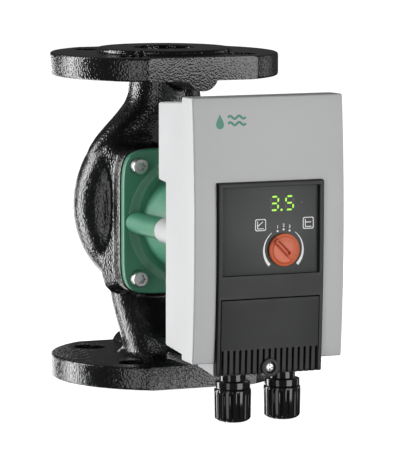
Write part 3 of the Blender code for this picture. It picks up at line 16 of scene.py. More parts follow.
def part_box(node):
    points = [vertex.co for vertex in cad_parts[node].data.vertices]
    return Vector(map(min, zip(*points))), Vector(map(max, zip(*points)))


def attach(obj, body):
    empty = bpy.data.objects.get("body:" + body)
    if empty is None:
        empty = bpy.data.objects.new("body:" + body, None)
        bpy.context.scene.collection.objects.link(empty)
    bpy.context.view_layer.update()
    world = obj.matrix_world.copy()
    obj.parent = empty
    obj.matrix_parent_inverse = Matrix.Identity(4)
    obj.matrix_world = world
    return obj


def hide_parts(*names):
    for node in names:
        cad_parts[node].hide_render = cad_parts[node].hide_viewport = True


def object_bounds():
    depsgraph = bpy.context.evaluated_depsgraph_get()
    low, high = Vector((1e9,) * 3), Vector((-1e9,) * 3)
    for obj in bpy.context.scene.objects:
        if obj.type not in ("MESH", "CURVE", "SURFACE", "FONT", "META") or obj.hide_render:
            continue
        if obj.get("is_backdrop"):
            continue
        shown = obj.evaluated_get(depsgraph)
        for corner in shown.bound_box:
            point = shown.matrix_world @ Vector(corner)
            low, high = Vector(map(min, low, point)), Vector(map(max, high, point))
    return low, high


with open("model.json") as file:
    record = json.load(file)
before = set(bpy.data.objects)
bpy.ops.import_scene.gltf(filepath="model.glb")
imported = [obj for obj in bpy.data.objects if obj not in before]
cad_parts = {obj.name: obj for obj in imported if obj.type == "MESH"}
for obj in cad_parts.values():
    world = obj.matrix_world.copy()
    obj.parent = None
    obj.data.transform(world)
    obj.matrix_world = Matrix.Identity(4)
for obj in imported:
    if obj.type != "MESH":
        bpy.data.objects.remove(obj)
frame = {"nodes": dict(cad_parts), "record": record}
cad_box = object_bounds()

MM = 0.001
GAP = 0.3 * MM
OVERRUN = 3 * MM

# ---- places taken from the frame

_, casing_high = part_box("pump_housing")
barrel_low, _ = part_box("motor_housing")
cover_low, cover_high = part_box("module_front_cover")
shell_low, shell_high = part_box("module_rear_shell")
panel_low, panel_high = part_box("panel_frame")
lens_low, lens_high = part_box("display_lens")
tray_low, tray_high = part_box("terminal_box")
lid_low, lid_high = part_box("terminal_cover")
knob_low, knob_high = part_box("setting_knob")
screw_low, screw_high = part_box("terminal_cover_screw")

FACE_TO_FACE = casing_high.z
AXIS_Z = FACE_TO_FACE / 2
FLANGE_RADIUS = casing_high.x
FLANGE_FLAT = casing_high.y
PANEL_SPLIT = AXIS_Z - 36 * MM
PANEL_BOTTOM = panel_low.z
PANEL_HALF = panel_high.x
PANEL_SIDE = 2.4 * MM
KNOB_X = (knob_low.x + knob_high.x) / 2
KNOB_Z = (knob_low.z + knob_high.z) / 2
KNOB_RADIUS = (knob_high.x - knob_low.x) / 2
COVER_SCREW_Z = (screw_low.z + screw_high.z) / 2
MODULE_HALF = cover_high.x
COVER_FRONT = cover_low.y
SEAM_Y = cover_high.y
BARREL_FRONT = barrel_low.y
LENS_FRONT = lens_low.y
WINDOW_HALF = lens_high.x + GAP
WINDOW_BOTTOM = lens_low.z - 0.06 * MM
WINDOW_TOP = lens_high.z + GAP

# ---- sizes

# Casing
RAISED_RADIUS = 44 * MM
RAISED_HEIGHT = 3 * MM
FLANGE_THICKNESS = 15 * MM
FLANGE_END = 30 * MM  # how far from its face a flange is cut flat and slotted
PORT_RADIUS = 20 * MM
NECK_RADIUS = 23.5 * MM
NECK_FILLET = 5 * MM
BOSS_RADIUS = 10.8 * MM
SLOT_CENTRE = 53.5 * MM
SLOT_RADIUS = 9 * MM
SLOT_STRETCH = 3 * MM
BLOCK_FRONT = -36 * MM
BLOCK_BACK = -12 * MM
COLLAR_BACK = -25 * MM
BORE_STEPS = (  # radius and rear end of each step, from the motor's seat to the suction chamber
    (44.2 * MM, -24 * MM), (35 * MM, 5 * MM), (20.5 * MM, 13.3 * MM), (17 * MM, 25.5 * MM),
)
VOLUTE_START = 50  # degrees from +X towards +Z, at the tongue
VOLUTE_TURN = 300
VOLUTE_OUTER = (46, 0.0235, 0.00021)  # millimetres, then growth per degree and per degree squared
VOLUTE_WIDTH = (34, 0.04)  # millimetres, then growth per degree
VOXEL = 1.15 * MM

# Motor
MOTOR_HALF_X = 45.8 * MM
MOTOR_HALF_Z = 47 * MM
FLANGE_FRONT = BLOCK_FRONT - 6 * MM
BARREL_RADIUS = 35.5 * MM
BARREL_WALL = 3.5 * MM
SPIGOT_RADIUS = 43.6 * MM
SPIGOT_BACK = -28.3 * MM
PLUG_HALF_X = 12.3 * MM
PLUG_HALF_Z = 10.3 * MM
BAND_OUTER = 43 * MM
BAND_INNER = 37.1 * MM
PILLAR_X = 37.8 * MM
PILLAR_RADIUS = 7 * MM
PILLAR_FRONT = -91 * MM
SCREW_X = 36.6 * MM
SCREW_Z = 36.5 * MM
SCREW_HEAD = 6.5 * MM

# Module
SHELL_WALL = 2.5 * MM
SHELL_BACK_UPPER = -109 * MM
SHELL_BACK_LOWER = -120.5 * MM
SHELL_STEP_Z = AXIS_Z + 33.5 * MM
SHELL_DRAFT = 2.8 * MM
SHELL_BOSS_RADIUS = 8.1 * MM
PLUG_WAY_RADIUS = 16.5 * MM
COVER_MIDDLE = AXIS_Z + 3 * MM
COVER_REACH = 84 * MM  # from the middle to where the front has fallen back by COVER_SWEEP
COVER_SWEEP = 3.7 * MM
AHEAD = -180 * MM  # in front of every piece

# Panel and its print
CURVE_TOP = PANEL_SPLIT + 38 * MM
PANEL_SWEEP = 3.1 * MM
POCKET_FRONT = -163.4 * MM
STRIP_FRONT = -162.1 * MM
ARC_RADIUS = 13.3 * MM
ARC_START = 127  # degrees above +X, beside the dots
ARC_TURN = 98
DOT_X = 9.2 * MM
DOT_STEP = 4.1 * MM
DOT_DROP = 0.9 * MM  # of the outer dots and numerals under the middle ones
DOT_RISE = 12.6 * MM
NUMBER_RISE = 14.2 * MM
ICON_HALF = 3.7 * MM
ICON_LINE = 0.5 * MM
ICONS = (  # centre X, centre Z, and the ends of each stroke about the centre, in millimetres
    (-6.5 * MM, 119.8 * MM, (((-2, 2.3), (-2, -2.3)), ((-2, -2.3), (2.2, -2.3)), ((-2, -0.9), (1.6, 2)))),
    (26.1 * MM, 119.9 * MM, (((-2, 2.3), (-2, -2.3)), ((-2, -2.3), (2.2, -2.3)), ((-2, 0.5), (2, 0.5)))),
)
DIGIT_Z = 132.9 * MM
DIGIT_WIDTH = 5 * MM
DIGIT_HEIGHT = 8.3 * MM
SEGMENT_WIDTH = 1.15 * MM
SEGMENT_SLANT = 0.04

# Knob
POINTER = 135  # degrees above +X, as the knob stands
SLOT_BACK = 4.1 * MM
SLOT_HALF = 0.95 * MM
WING_HALF = 1.65 * MM
KNOB_DOME = 3.6 * MM  # from the knob's back to the middle of its dome
SCOOP_EDGE = -1.9 * MM

# Terminals and glands
TRAY_WALL = 2.5 * MM
TRAY_FLOOR = AXIS_Z - 78 * MM
SCREW_WAY_RADIUS = 2 * MM
RIB_PITCH = 4 * MM
RIB_TOP = AXIS_Z - 67.5 * MM
GLAND_X = 17 * MM
GLAND_Y = -149 * MM
GLAND_BORE = 4.6 * MM
GLAND_COLLAR = 8.25 * MM
NUT_RADIUS = 11.65 * MM
NUT_TOP = AXIS_Z - 94.1 * MM
NUT_BOTTOM = AXIS_Z - 114.7 * MM
FLUTES = 16

# Camera and lights
CAMERA_PLACE = (-0.9447, -2.2087, 0.3732)
CAMERA_LENS = 288.2
CAMERA_YAW, CAMERA_PITCH, CAMERA_ROLL = (math.radians(turn) for turn in (23.75, 6.49, 0.118))
ROOM_FILL = 0.07
LIGHTS = {  # degrees from +X towards +Y, distance, height, (width, height of the light), radiance
    "behind": (86, 2.0, -0.8, (1.3, 2.0), 2.6),
    "back_left": (141, 1.5, 0.1, (0.56, 2.4), 8.8),
    "front_left": (-140, 1.7, 0.1, (0.55, 2.4), 2.0),
    "right": (8, 2.2, 0.3, (0.7, 1.6), 0.9),
    "front_right": (-66, 2.6, 0.1, (1.6, 1.7), 3.9),
}


# ---- mesh helpers


def placed(name, data):
    made = bpy.data.objects.new(name, data)
    bpy.context.scene.collection.objects.link(made)
    return made


def mesh_object(name, builder):
    mesh = bpy.data.meshes.new(name)
    builder.to_mesh(mesh)
    builder.free()
    return placed(name, mesh)


def closed_object(name, builder):
    bmesh.ops.recalc_face_normals(builder, faces=builder.faces)
    return mesh_object(name, builder)


def spaced(low, high, steps):
    return [low + (high - low) * i / steps for i in range(steps + 1)]


def loft(name, rings):
    """A closed body through rings of equal count, with flat ends."""
    builder = bmesh.new()
    rows = [[builder.verts.new(point) for point in ring] for ring in rings]
    for low, high in zip(rows, rows[1:]):
        for i in range(len(low)):
            j = (i + 1) % len(low)
            builder.faces.new((low[i], low[j], high[j], high[i]))
    builder.faces.new(rows[0])
    builder.faces.new(rows[-1])
    return closed_object(name, builder)


def turned(name, outline, centre, along="Y", sides=96):
    """A body of revolution from (radius, height) points, about an axis through centre."""
    builder = bmesh.new()
    x0, y0, z0 = centre
    rows = []
    for radius, height in outline:
        ring = []
        for i in range(sides if radius > 1e-9 else 1):
            turn = 2 * math.pi * i / sides
            a, b = radius * math.cos(turn), radius * math.sin(turn)
            place = (x0 + a, y0 + height, z0 + b) if along == "Y" else (x0 + a, y0 + b, z0 + height)
            ring.append(builder.verts.new(place))
        rows.append(ring)
    for low, high in zip(rows, rows[1:] + rows[:1]):
        for i in range(sides):
            j = (i + 1) % sides
            corners = [low[i % len(low)], low[j % len(low)], high[j % len(high)], high[i % len(high)]]
            corners = [c for k, c in enumerate(corners) if c not in corners[:k]]
            if len(corners) > 2:
                builder.faces.new(corners)
    return closed_object(name, builder)


def stepped(front, steps):
    """A turned outline that starts at front, with a (radius, end) for each step."""
    outline = [(0, front)]
    for radius, end in steps:
        outline += [(radius, front), (radius, end)]
        front = end
    return outline + [(0, front)]


def prism(name, outline, low, high, along):
    def corner(a, b, depth):
        return {"X": (depth, a, b), "Y": (a, depth, b), "Z": (a, b, depth)}[along]

    return loft(name, [[corner(a, b, depth) for a, b in outline] for depth in (low, high)])


def box(name, low, high):
    outline = [(low[0], low[1]), (high[0], low[1]), (high[0], high[1]), (low[0], high[1])]
    return prism(name, outline, low[2], high[2], "Z")


def rounded(outline, radius, steps=4):
    """The open profile with a curve of about this radius at each corner, less where sides are short."""
    points = [Vector(p) for p in outline]
    made = [points[0]]
    for before, corner, after in zip(points, points[1:], points[2:]):
        a, b = before - corner, after - corner
        if a.length < 1e-9 or b.length < 1e-9:
            made.append(corner)
            continue
        half = a.angle(b) / 2
        reach = min(radius / math.tan(half) if half > 0.05 else 0, 0.45 * a.length, 0.45 * b.length)
        if half > 1.5 or reach <= 0:
            made.append(corner)
            continue
        start, end = corner + a.normalized() * reach, corner + b.normalized() * reach
        for i in range(steps + 1):
            t = i / steps
            made.append((1 - t) ** 2 * start + 2 * t * (1 - t) * corner + t * t * end)
    made.append(points[-1])
    return [(p.x, p.y) for p in made]


def solid(name, outline, radius, centre, along="Y", sides=96, steps=4):
    """A turned body, closed to its axis, with the outline's corners rounded."""
    profile = [(0, outline[0][1])] + rounded(outline, radius, steps) + [(0, outline[-1][1])]
    return turned(name, profile, centre, along, sides)


def baked(made):
    """The object's evaluated mesh, in the frame's coordinates."""
    bpy.context.view_layer.update()
    graph = bpy.context.evaluated_depsgraph_get()
    mesh = bpy.data.meshes.new_from_object(made.evaluated_get(graph))
    mesh.transform(made.matrix_world)
    return mesh


def applied(made):
    """Bakes the object's modifiers and transform into its mesh."""
    mesh = baked(made)
    made.modifiers.clear()
    made.data = mesh
    made.matrix_world = Matrix.Identity(4)
    return made


def bevel(made, width, segments=3, angle=40):
    modifier = made.modifiers.new("bevel", "BEVEL")
    modifier.width = width
    modifier.segments = segments
    modifier.limit_method = "ANGLE"
    modifier.angle_limit = math.radians(angle)
    return applied(made)


def combine(made, others, operation):
    """A chain of Booleans. The EXACT solver leaves open edges in the thin shells, MANIFOLD doesn't."""
    for other in others:
        modifier = made.modifiers.new("combine", "BOOLEAN")
        modifier.operation = operation
        modifier.solver = "MANIFOLD"
        modifier.object = other
    applied(made)
    for other in others:
        bpy.data.objects.remove(other)
    return made


def cut(made, *others):
    return combine(made, others, "DIFFERENCE")


def join(made, *others):
    return combine(made, others, "UNION")


def merged(name, parts):
    """One object that holds several separate bodies."""
    builder = bmesh.new()
    for part in parts:
        builder.from_mesh(part.data)
        bpy.data.objects.remove(part)
    return mesh_object(name, builder)


def piece(made, name, look, body, slot, *nodes, angle=35):
    """Names a finished shape, gives it its material and lets it ride."""
    made.name = name
    made.data.name = name
    made.data.materials.clear()
    made.data.materials.append(look)
    made.data.shade_smooth()
    made.data.set_sharp_from_angle(angle=math.radians(angle))
    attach(made, body)
    if nodes:
        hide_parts(*nodes)
    return made


def eased(rows, steps):
    """Catmull-Rom rows between the given rows of numbers."""
    rows = np.array(rows, float)
    padded = np.vstack([2 * rows[0] - rows[1], rows, 2 * rows[-1] - rows[-2]])
    made = []
    for i in range(len(rows) - 1):
        a, b, c, d = padded[i : i + 4]
        for step in range(steps):
            t = step / steps
            bend = (2 * a - 5 * b + 4 * c - d) * t**2 + (3 * b - a - 3 * c + d) * t**3
            made.append(0.5 * (2 * b + (c - a) * t + bend))
    made.append(rows[-1])
    return [row.tolist() for row in made]


def oval(x, y, half_x, half_y, count):
    turns = [2 * math.pi * i / count for i in range(count)]
    return [(x + half_x * math.cos(t), y + half_y * math.sin(t)) for t in turns]


def rounded_square(x, z, half_x, half_z, count=160, power=7):
    outline = []
    for i in range(count):
        turn = 2 * math.pi * (i + 0.5) / count
        c, s = math.cos(turn), math.sin(turn)
        reach = (abs(c) ** power + abs(s) ** power) ** (-1 / power)
        outline.append((x + half_x * reach * c, z + half_z * reach * s))
    return outline


def cylinder_y(name, x, z, radius, low, high, sides=48):
    return turned(name, stepped(low, [(radius, high)]), (x, 0, z), sides=sides)


# ---- materials


def link(tree, source, output, target, socket):
    tree.links.new(source.outputs[output], target.inputs[socket])


def fill(node, **values):
    """Sets a node's inputs, where an underscore in a name stands for a space."""
    for name, value in values.items():
        node.inputs[name.replace("_", " ")].default_value = value
    return node


def material(name, colour, roughness, metallic=0.0, grain=0.8 * MM, bump=0.1, depth=0.05 * MM,
             blotch=0.12, spread=0.08, specular=0.5, stretch=(1, 1, 1), detail=3):
    """A shader with a fine skin (bump) and slow changes of colour and gloss."""
    made = bpy.data.materials.new(name)
    made.use_nodes = True
    tree = made.node_tree
    shader = tree.nodes["Principled BSDF"]
    fill(shader, Metallic=metallic, Specular_IOR_Level=specular)
    place = tree.nodes.new("ShaderNodeTexCoord")
    mapping = fill(tree.nodes.new("ShaderNodeMapping"), Scale=stretch)
    link(tree, place, "Object", mapping, "Vector")

    fine = fill(tree.nodes.new("ShaderNodeTexNoise"), Scale=1 / grain, Detail=detail, Roughness=0.6)
    link(tree, mapping, "Vector", fine, "Vector")
    relief = fill(tree.nodes.new("ShaderNodeBump"), Strength=bump, Distance=depth)
    link(tree, fine, "Fac", relief, "Height")
    link(tree, relief, "Normal", shader, "Normal")

    slow = fill(tree.nodes.new("ShaderNodeTexNoise"), Scale=45, Detail=4)
    link(tree, mapping, "Vector", slow, "Vector")
    gloss = tree.nodes.new("ShaderNodeMapRange")
    fill(gloss, To_Min=max(0.03, roughness - spread), To_Max=roughness + spread)
    link(tree, slow, "Fac", gloss, "Value")
    link(tree, gloss, "Result", shader, "Roughness")

    tint = tree.nodes.new("ShaderNodeMix")
    tint.data_type = "RGBA"
    darker = [c * (1 - blotch) for c in colour]
    paler = [min(1, c * (1 + blotch)) for c in colour]
    fill(tint, A=(*darker, 1), B=(*paler, 1))
    link(tree, slow, "Fac", tint, "Factor")
    link(tree, tint, "Result", shader, "Base Color")
    return made


def glow(made, colour, strength):
    shader = made.node_tree.nodes["Principled BSDF"]
    fill(shader, Emission_Color=(*colour, 1), Emission_Strength=strength)


def add_rough_band_and_sheen(made):
    """The rough cast ring on the motor flange: its bump is coarser than the paint around it, and its colour
    is made lighter as a painted reflection of the light its speckled face catches.
    """
    tree = made.node_tree
    shader = tree.nodes["Principled BSDF"]
    tint = shader.inputs["Base Color"].links[0].from_node
    relief = shader.inputs["Normal"].links[0].from_node
    place = tree.nodes.new("ShaderNodeTexCoord")
    split = tree.nodes.new("ShaderNodeSeparateXYZ")
    link(tree, place, "Object", split, "Vector")

    def maths(operation, a, b=None):
        node = tree.nodes.new("ShaderNodeMath")
        node.operation = operation
        for i, value in enumerate((a, b)):
            if isinstance(value, (int, float)):
                node.inputs[i].default_value = value
            elif value is not None:
                tree.links.new(value, node.inputs[i])
        return node.outputs["Value"]

    height = maths("SUBTRACT", split.outputs["Z"], AXIS_Z)
    radius = maths("SQRT", maths("ADD", maths("POWER", split.outputs["X"], 2), maths("POWER", height, 2)))
    beyond = maths("GREATER_THAN", radius, BAND_INNER)
    inside = maths("MULTIPLY", beyond, maths("LESS_THAN", radius, BAND_OUTER))
    mask = maths("MULTIPLY", inside, maths("GREATER_THAN", split.outputs["Y"], FLANGE_FRONT - 0.8 * MM))
    coarse = fill(tree.nodes.new("ShaderNodeTexNoise"), Scale=1 / (1.1 * MM), Detail=5)
    link(tree, place, "Object", coarse, "Vector")
    second = fill(tree.nodes.new("ShaderNodeBump"), Distance=0.25 * MM)
    tree.links.new(maths("MULTIPLY", mask, 0.9), second.inputs["Strength"])
    link(tree, coarse, "Fac", second, "Height")
    link(tree, relief, "Normal", second, "Normal")
    link(tree, second, "Normal", shader, "Normal")
    # painted reflection: the ring's base colour is made lighter to stand in for the light it reflects
    painted_sheen_tint = tree.nodes.new("ShaderNodeMix")
    painted_sheen_tint.data_type = "RGBA"
    fill(painted_sheen_tint, B=(0.17, 0.36, 0.25, 1))
    tree.links.new(maths("MULTIPLY", mask, 0.7), painted_sheen_tint.inputs["Factor"])
    link(tree, tint, "Result", painted_sheen_tint, "A")
    link(tree, painted_sheen_tint, "Result", shader, "Base Color")
    return made


cast_iron = material("black_cast_iron", (0.006, 0.006, 0.007), 0.18, grain=1.15 * MM, bump=1.0,
                     depth=0.27 * MM, specular=0.65, spread=0.04, detail=0)
green_paint = add_rough_band_and_sheen(
    material("green_paint", (0.066, 0.28, 0.165), 0.36, grain=0.7 * MM, bump=0.15, depth=0.1 * MM)
)
light_grey = material("light_grey_plastic", (0.6, 0.605, 0.61), 0.45, grain=0.35 * MM, bump=0.12, blotch=0.02)
# painted shade: the tray's grey is the module's light grey made darker, to stand in for the shade the tray
# sits in under the module
painted_shade_grey = material("mid_grey_plastic", (0.42, 0.43, 0.44), 0.5, grain=0.35 * MM, bump=0.12, blotch=0.03)
dark_plastic = material("dark_plastic", (0.026, 0.027, 0.027), 0.55, grain=0.45 * MM, bump=0.3, blotch=0.06)
lid_plastic = material("lid_plastic", (0.021, 0.022, 0.022), 0.55, grain=0.45 * MM, bump=0.3, blotch=0.06)
# painted shade: a near-black material for the panel's side walls, standing in for the shadow gap beside the
# panel
painted_shade_plastic = material("painted_shade_plastic", (0.006, 0.006, 0.006), 0.7, grain=0.45 * MM, bump=0.2, specular=0.2)
black_plastic = material("black_plastic", (0.01, 0.01, 0.011), 0.12, grain=2.5 * MM, bump=0.06,
                         depth=0.05 * MM, specular=0.6, spread=0.05)
lens_plastic = material("smoked_lens", (0.038, 0.042, 0.041), 0.5, grain=0.3 * MM, bump=0.1, blotch=0.04)
knob_plastic = material("knob_red", (0.8, 0.16, 0.06), 0.42, grain=0.5 * MM, bump=0.05, blotch=0.04)
print_white = material("print_white", (0.86, 0.86, 0.85), 0.5, grain=0.4 * MM, bump=0.05, blotch=0.03)
print_green = material("print_green", (0.055, 0.3, 0.2), 0.45, grain=0.4 * MM, bump=0.05, blotch=0.04)
# painted light: the white print glows a little, to look brighter than the lamps make it; it is print, not a
# light
glow(print_white, (1, 1, 1), 0.15)
unlit_segment = material("unlit_segment", (0.02, 0.022, 0.022), 0.35, grain=0.4 * MM, bump=0.05)
lit_segment = material("lit_segment", (0.3, 0.75, 0.05), 0.4, grain=0.4 * MM, bump=0.05)
glow(lit_segment, (0.42, 0.85, 0.02), 0.6)
zinc = material("zinc_plated_steel", (0.55, 0.55, 0.54), 0.28, 1.0, grain=0.6 * MM, bump=0.12)
bright_zinc = material("bright_zinc", (0.8, 0.8, 0.78), 0.38, 1.0, grain=0.8 * MM, bump=0.5, detail=1)

INNER = {
    "stainless_steel": material("stainless_steel", (0.6, 0.6, 0.6), 0.3, 1.0, stretch=(1, 8, 1)),
    "aluminium": material("aluminium", (0.72, 0.72, 0.72), 0.35, 1.0, stretch=(1, 6, 1)),
    "stator_steel": material("stator_steel", (0.28, 0.28, 0.29), 0.45, 1.0, stretch=(1, 40, 1), bump=0.4),
    "copper_winding": material("copper_winding", (0.62, 0.24, 0.08), 0.3, 1.0, bump=0.5, stretch=(3, 1, 3)),
    "carbon": material("carbon", (0.04, 0.04, 0.045), 0.5),
    "ceramic": material("ceramic", (0.75, 0.73, 0.68), 0.25),
    "rubber": material("rubber", (0.02, 0.02, 0.02), 0.75, bump=0.3),
    "circuit_board": material("circuit_board", (0.02, 0.16, 0.07), 0.4, grain=2 * MM, bump=0.2),
    "capacitor_sleeve": material("capacitor_sleeve", (0.03, 0.03, 0.05), 0.3),
    "white_plastic": material("white_plastic", (0.7, 0.7, 0.68), 0.45),
    "zinc_plated_steel": zinc,
    "black_plastic": black_plastic,
    "dark_plastic": dark_plastic,
    "green_digits": unlit_segment,
}
for row in frame["record"]["subparts"]:
    if row["material_slot"] in INNER:
        node = frame["nodes"][row["node"]]
        for i in range(len(node.data.materials)):
            node.data.materials[i] = INNER[row["material_slot"]]


# ---- casing


def volute(name, thinner, grow_y, inner_radius=None, centre_y=0.0):
    """The spiral chamber, or its hollow, from the tongue round to the outlet."""
    base, slope, curve = VOLUTE_OUTER
    width, widening = VOLUTE_WIDTH
    rings = []
    for turned_by in range(0, VOLUTE_TURN + 1, 5):
        outer = (base + slope * turned_by + curve * turned_by**2) * MM - thinner
        inner = inner_radius if inner_radius else outer - (width + widening * turned_by) * MM
        half_y = (grow_y[0] + grow_y[1] * turned_by) * MM
        angle = math.radians(VOLUTE_START - turned_by)
        middle, half = (inner + outer) / 2, (outer - inner) / 2
        ring = []
        for i in range(40):
            around = 2 * math.pi * i / 40
            radius = middle + half * math.cos(around)
            y = centre_y + half_y * math.sin(around)
            ring.append((radius * math.cos(angle), y, AXIS_Z + radius * math.sin(angle)))
        rings.append(ring)
    return loft(name, rings)


def duct(name, rows, steps=5):
    """A vertical duct through rows of (height, centre x, centre y, half x, half y) in metres."""
    return loft(name, [[(*p, z) for p in oval(x, y, hx, hy, 64)] for z, x, y, hx, hy in eased(rows, steps)])


underside = FACE_TO_FACE - RAISED_HEIGHT - FLANGE_THICKNESS
NECK = [  # percent of the way down to the motor axis, growth to the left and to the right in millimetres
    (4, 0, 0), (13, 0.5, 0.3), (17, 1.7, 1.2), (21, 3.8, 2.8), (25, 7.1, 5), (29, 10.5, 7),
    (37, 18, 10), (46, 25.5, 12), (57, 31, 14), (76, 33, 14),
]
neck_rows = [(underside + 8 * MM, 0, 0, NECK_RADIUS, NECK_RADIUS)]
for percent, left, right in NECK:
    height = underside + (AXIS_Z - underside) * percent / 100
    half = NECK_RADIUS + (left + right) / 2 * MM
    neck_rows.append((height, (right - left) / 2 * MM, 0, half, NECK_RADIUS))

SUCTION = [  # percent of the motor axis height, set-back, outer and inner half widths in X and Y
    (11, 0, 27, 27, 20, 20), (20, 0.5, 27, 27, 20, 20), (27, 4, 27.5, 27, 20.5, 20),
    (36, 11, 28, 26, 21.5, 19), (47, 18.5, 28.5, 24, 22.5, 17), (58, 23.5, 28.5, 21.5, 23, 15),
    (73, 25.5, 28, 20, 22.5, 14.5), (87, 25.5, 27, 20, 21.5, 14.5), (102, 25.5, 25, 19.5, 19.5, 14),
    (113, 25, 20, 17, 14.5, 11.5), (118, 24.5, 14.5, 13, 7, 6), (122, 24, 7, 7, 4, 4),
]
suction_rows = [(AXIS_Z * p / 100, 0, b * MM, hx * MM, hy * MM) for p, b, hx, hy, _, _ in SUCTION]
suction_hollow = [(-OVERRUN, 0, 0, PORT_RADIUS, PORT_RADIUS)]
suction_hollow += [(AXIS_Z * p / 100, 0, b * MM, hx * MM, hy * MM) for p, b, _, _, hx, hy in SUCTION[:-1]]
DISCHARGE = [  # percent of the way down to the motor axis, centre in X and Y, half widths in X and Y
    (29, 0, 0, 20, 20), (38, -1, 0, 21, 18.5), (47, -4, -2.5, 23, 16.5), (56, -8, -2.5, 22, 15),
    (67, -14, -2.5, 17, 14), (75, -16, -2.5, 10, 12),
]
discharge_hollow = [(FACE_TO_FACE + OVERRUN, 0, 0, PORT_RADIUS, PORT_RADIUS)]
discharge_hollow += [
    (FACE_TO_FACE - (FACE_TO_FACE - AXIS_Z) * p / 100, x * MM, y * MM, hx * MM, hy * MM)
    for p, x, y, hx, hy in DISCHARGE
]


def fillet_ring(name, radius, face, way):
    """The flare where a neck meets its flange."""
    outline = [(0, face - way * 4 * MM)]
    outline.append((radius + NECK_FILLET, face - way * 4 * MM))
    for i in range(7):
        turn = math.pi / 2 * i / 6
        reach = radius + NECK_FILLET * (1 - math.sin(turn))
        outline.append((reach, face + way * NECK_FILLET * (1 - math.cos(turn))))
    outline.append((0, face + way * NECK_FILLET))
    return turned(name, outline, (0, 0, 0), "Z", 64)


def flange(name, face, way):
    inner = face + way * RAISED_HEIGHT
    outer = inner + way * FLANGE_THICKNESS
    core = PORT_RADIUS - 1 * MM
    outline = [
        (core, face), (RAISED_RADIUS, face), (RAISED_RADIUS + 0.6 * MM, inner),
        (FLANGE_RADIUS, inner), (FLANGE_RADIUS, outer), (core, outer),
    ]
    return solid(name, outline, 1.9 * MM, (0, 0, 0), "Z", 160)


def slots():
    made = []
    for low in (-OVERRUN, FACE_TO_FACE - FLANGE_END):
        for quarter in range(4):
            turn = math.radians(45 + 90 * quarter)
            c, s = math.cos(turn), math.sin(turn)
            outline = []
            for i in range(40):
                around = 2 * math.pi * (i + 0.5) / 40
                shift = SLOT_STRETCH / 2 if math.cos(around) > 0 else -SLOT_STRETCH / 2
                radial = SLOT_CENTRE + shift + SLOT_RADIUS * math.cos(around)
                across = SLOT_RADIUS * math.sin(around)
                outline.append((radial * c - across * s, radial * s + across * c))
            made.append(prism("slot", outline, low, low + FLANGE_END + OVERRUN, "Z"))
    return merged("slots", made)


def casing():
    """The cast body: every bulge and duct merged and softened, then the machined flanges and bores."""
    lower_boss = RAISED_HEIGHT + BOSS_RADIUS + GAP
    reach = FLANGE_FLAT + 6 * MM
    rim = rounded_square(0, AXIS_Z, MOTOR_HALF_X - GAP, MOTOR_HALF_Z - GAP)
    root = rounded_square(0, AXIS_Z, MOTOR_HALF_X + 5 * MM, MOTOR_HALF_Z + 5 * MM)
    core = [
        (0, -30 * MM), (40 * MM, -30 * MM), (46 * MM, -16 * MM), (45 * MM, 8 * MM), (34 * MM, 21 * MM),
        (0, 22 * MM),
    ]
    shapes = [
        volute("volute", 0, (17, 0.025)),
        duct("neck", neck_rows),
        duct("suction", suction_rows),
        loft("block", [
            [(x, BLOCK_FRONT - 3 * MM, z) for x, z in rim],
            [(x, COLLAR_BACK, z) for x, z in rounded_square(0, AXIS_Z, MOTOR_HALF_X, MOTOR_HALF_Z)],
            [(x, BLOCK_BACK, z) for x, z in root],
        ]),
        turned("core", core, (0, 0, AXIS_Z)),
        fillet_ring("low_fillet", 27 * MM, RAISED_HEIGHT + FLANGE_THICKNESS, 1),
        fillet_ring("high_fillet", NECK_RADIUS, underside, -1),
        cylinder_y("low_boss", 0, lower_boss, BOSS_RADIUS, -reach, reach),
        cylinder_y("high_boss", 0, FACE_TO_FACE - lower_boss, BOSS_RADIUS, -reach, reach),
    ]
    made = merged("casing", shapes)
    outline = rounded_square(0, AXIS_Z, MOTOR_HALF_X + 0.6 * MM, MOTOR_HALF_Z + 0.6 * MM)
    collar = prism("collar", outline, BLOCK_FRONT, COLLAR_BACK, "Y")
    bevel(collar, 0.8 * MM, 3)
    voxels = made.modifiers.new("voxels", "REMESH")
    voxels.mode = "VOXEL"
    voxels.voxel_size = VOXEL
    soften = made.modifiers.new("soften", "SMOOTH")
    soften.factor = 0.5
    soften.iterations = 9
    applied(made)
    span = FLANGE_RADIUS + 10 * MM
    flats = []
    for side in (-1, 1):
        near, far = sorted((side * FLANGE_FLAT, side * span))
        for low, high in ((-OVERRUN, FLANGE_END), (FACE_TO_FACE - FLANGE_END, FACE_TO_FACE + OVERRUN)):
            flats.append(box("flat", (-span, near, low), (span, far, high)))
    clear = FLANGE_END + 4 * MM
    ahead = (-span, BLOCK_FRONT - 8 * MM, clear)
    seat_front = box("seat_front", ahead, (span, BLOCK_FRONT, FACE_TO_FACE - clear))
    bore = turned("front_bore", stepped(BLOCK_FRONT - 9 * MM, BORE_STEPS), (0, 0, AXIS_Z))
    crisp = [flange("low_flange", 0, 1), flange("high_flange", FACE_TO_FACE, -1), collar]
    join(made, *crisp)
    hollows = flats + [
        seat_front,
        slots(),
        duct("discharge_hollow", discharge_hollow),
        duct("suction_hollow", suction_hollow),
        volute("volute_hollow", 5 * MM, (6.5, 0.028), 32 * MM, -2.5 * MM),
        bore,
    ]
    cut(made, *hollows)
    return piece(made, "casing", cast_iron, "pump", "black_cast_iron", "pump_housing", angle=28)


# ---- motor


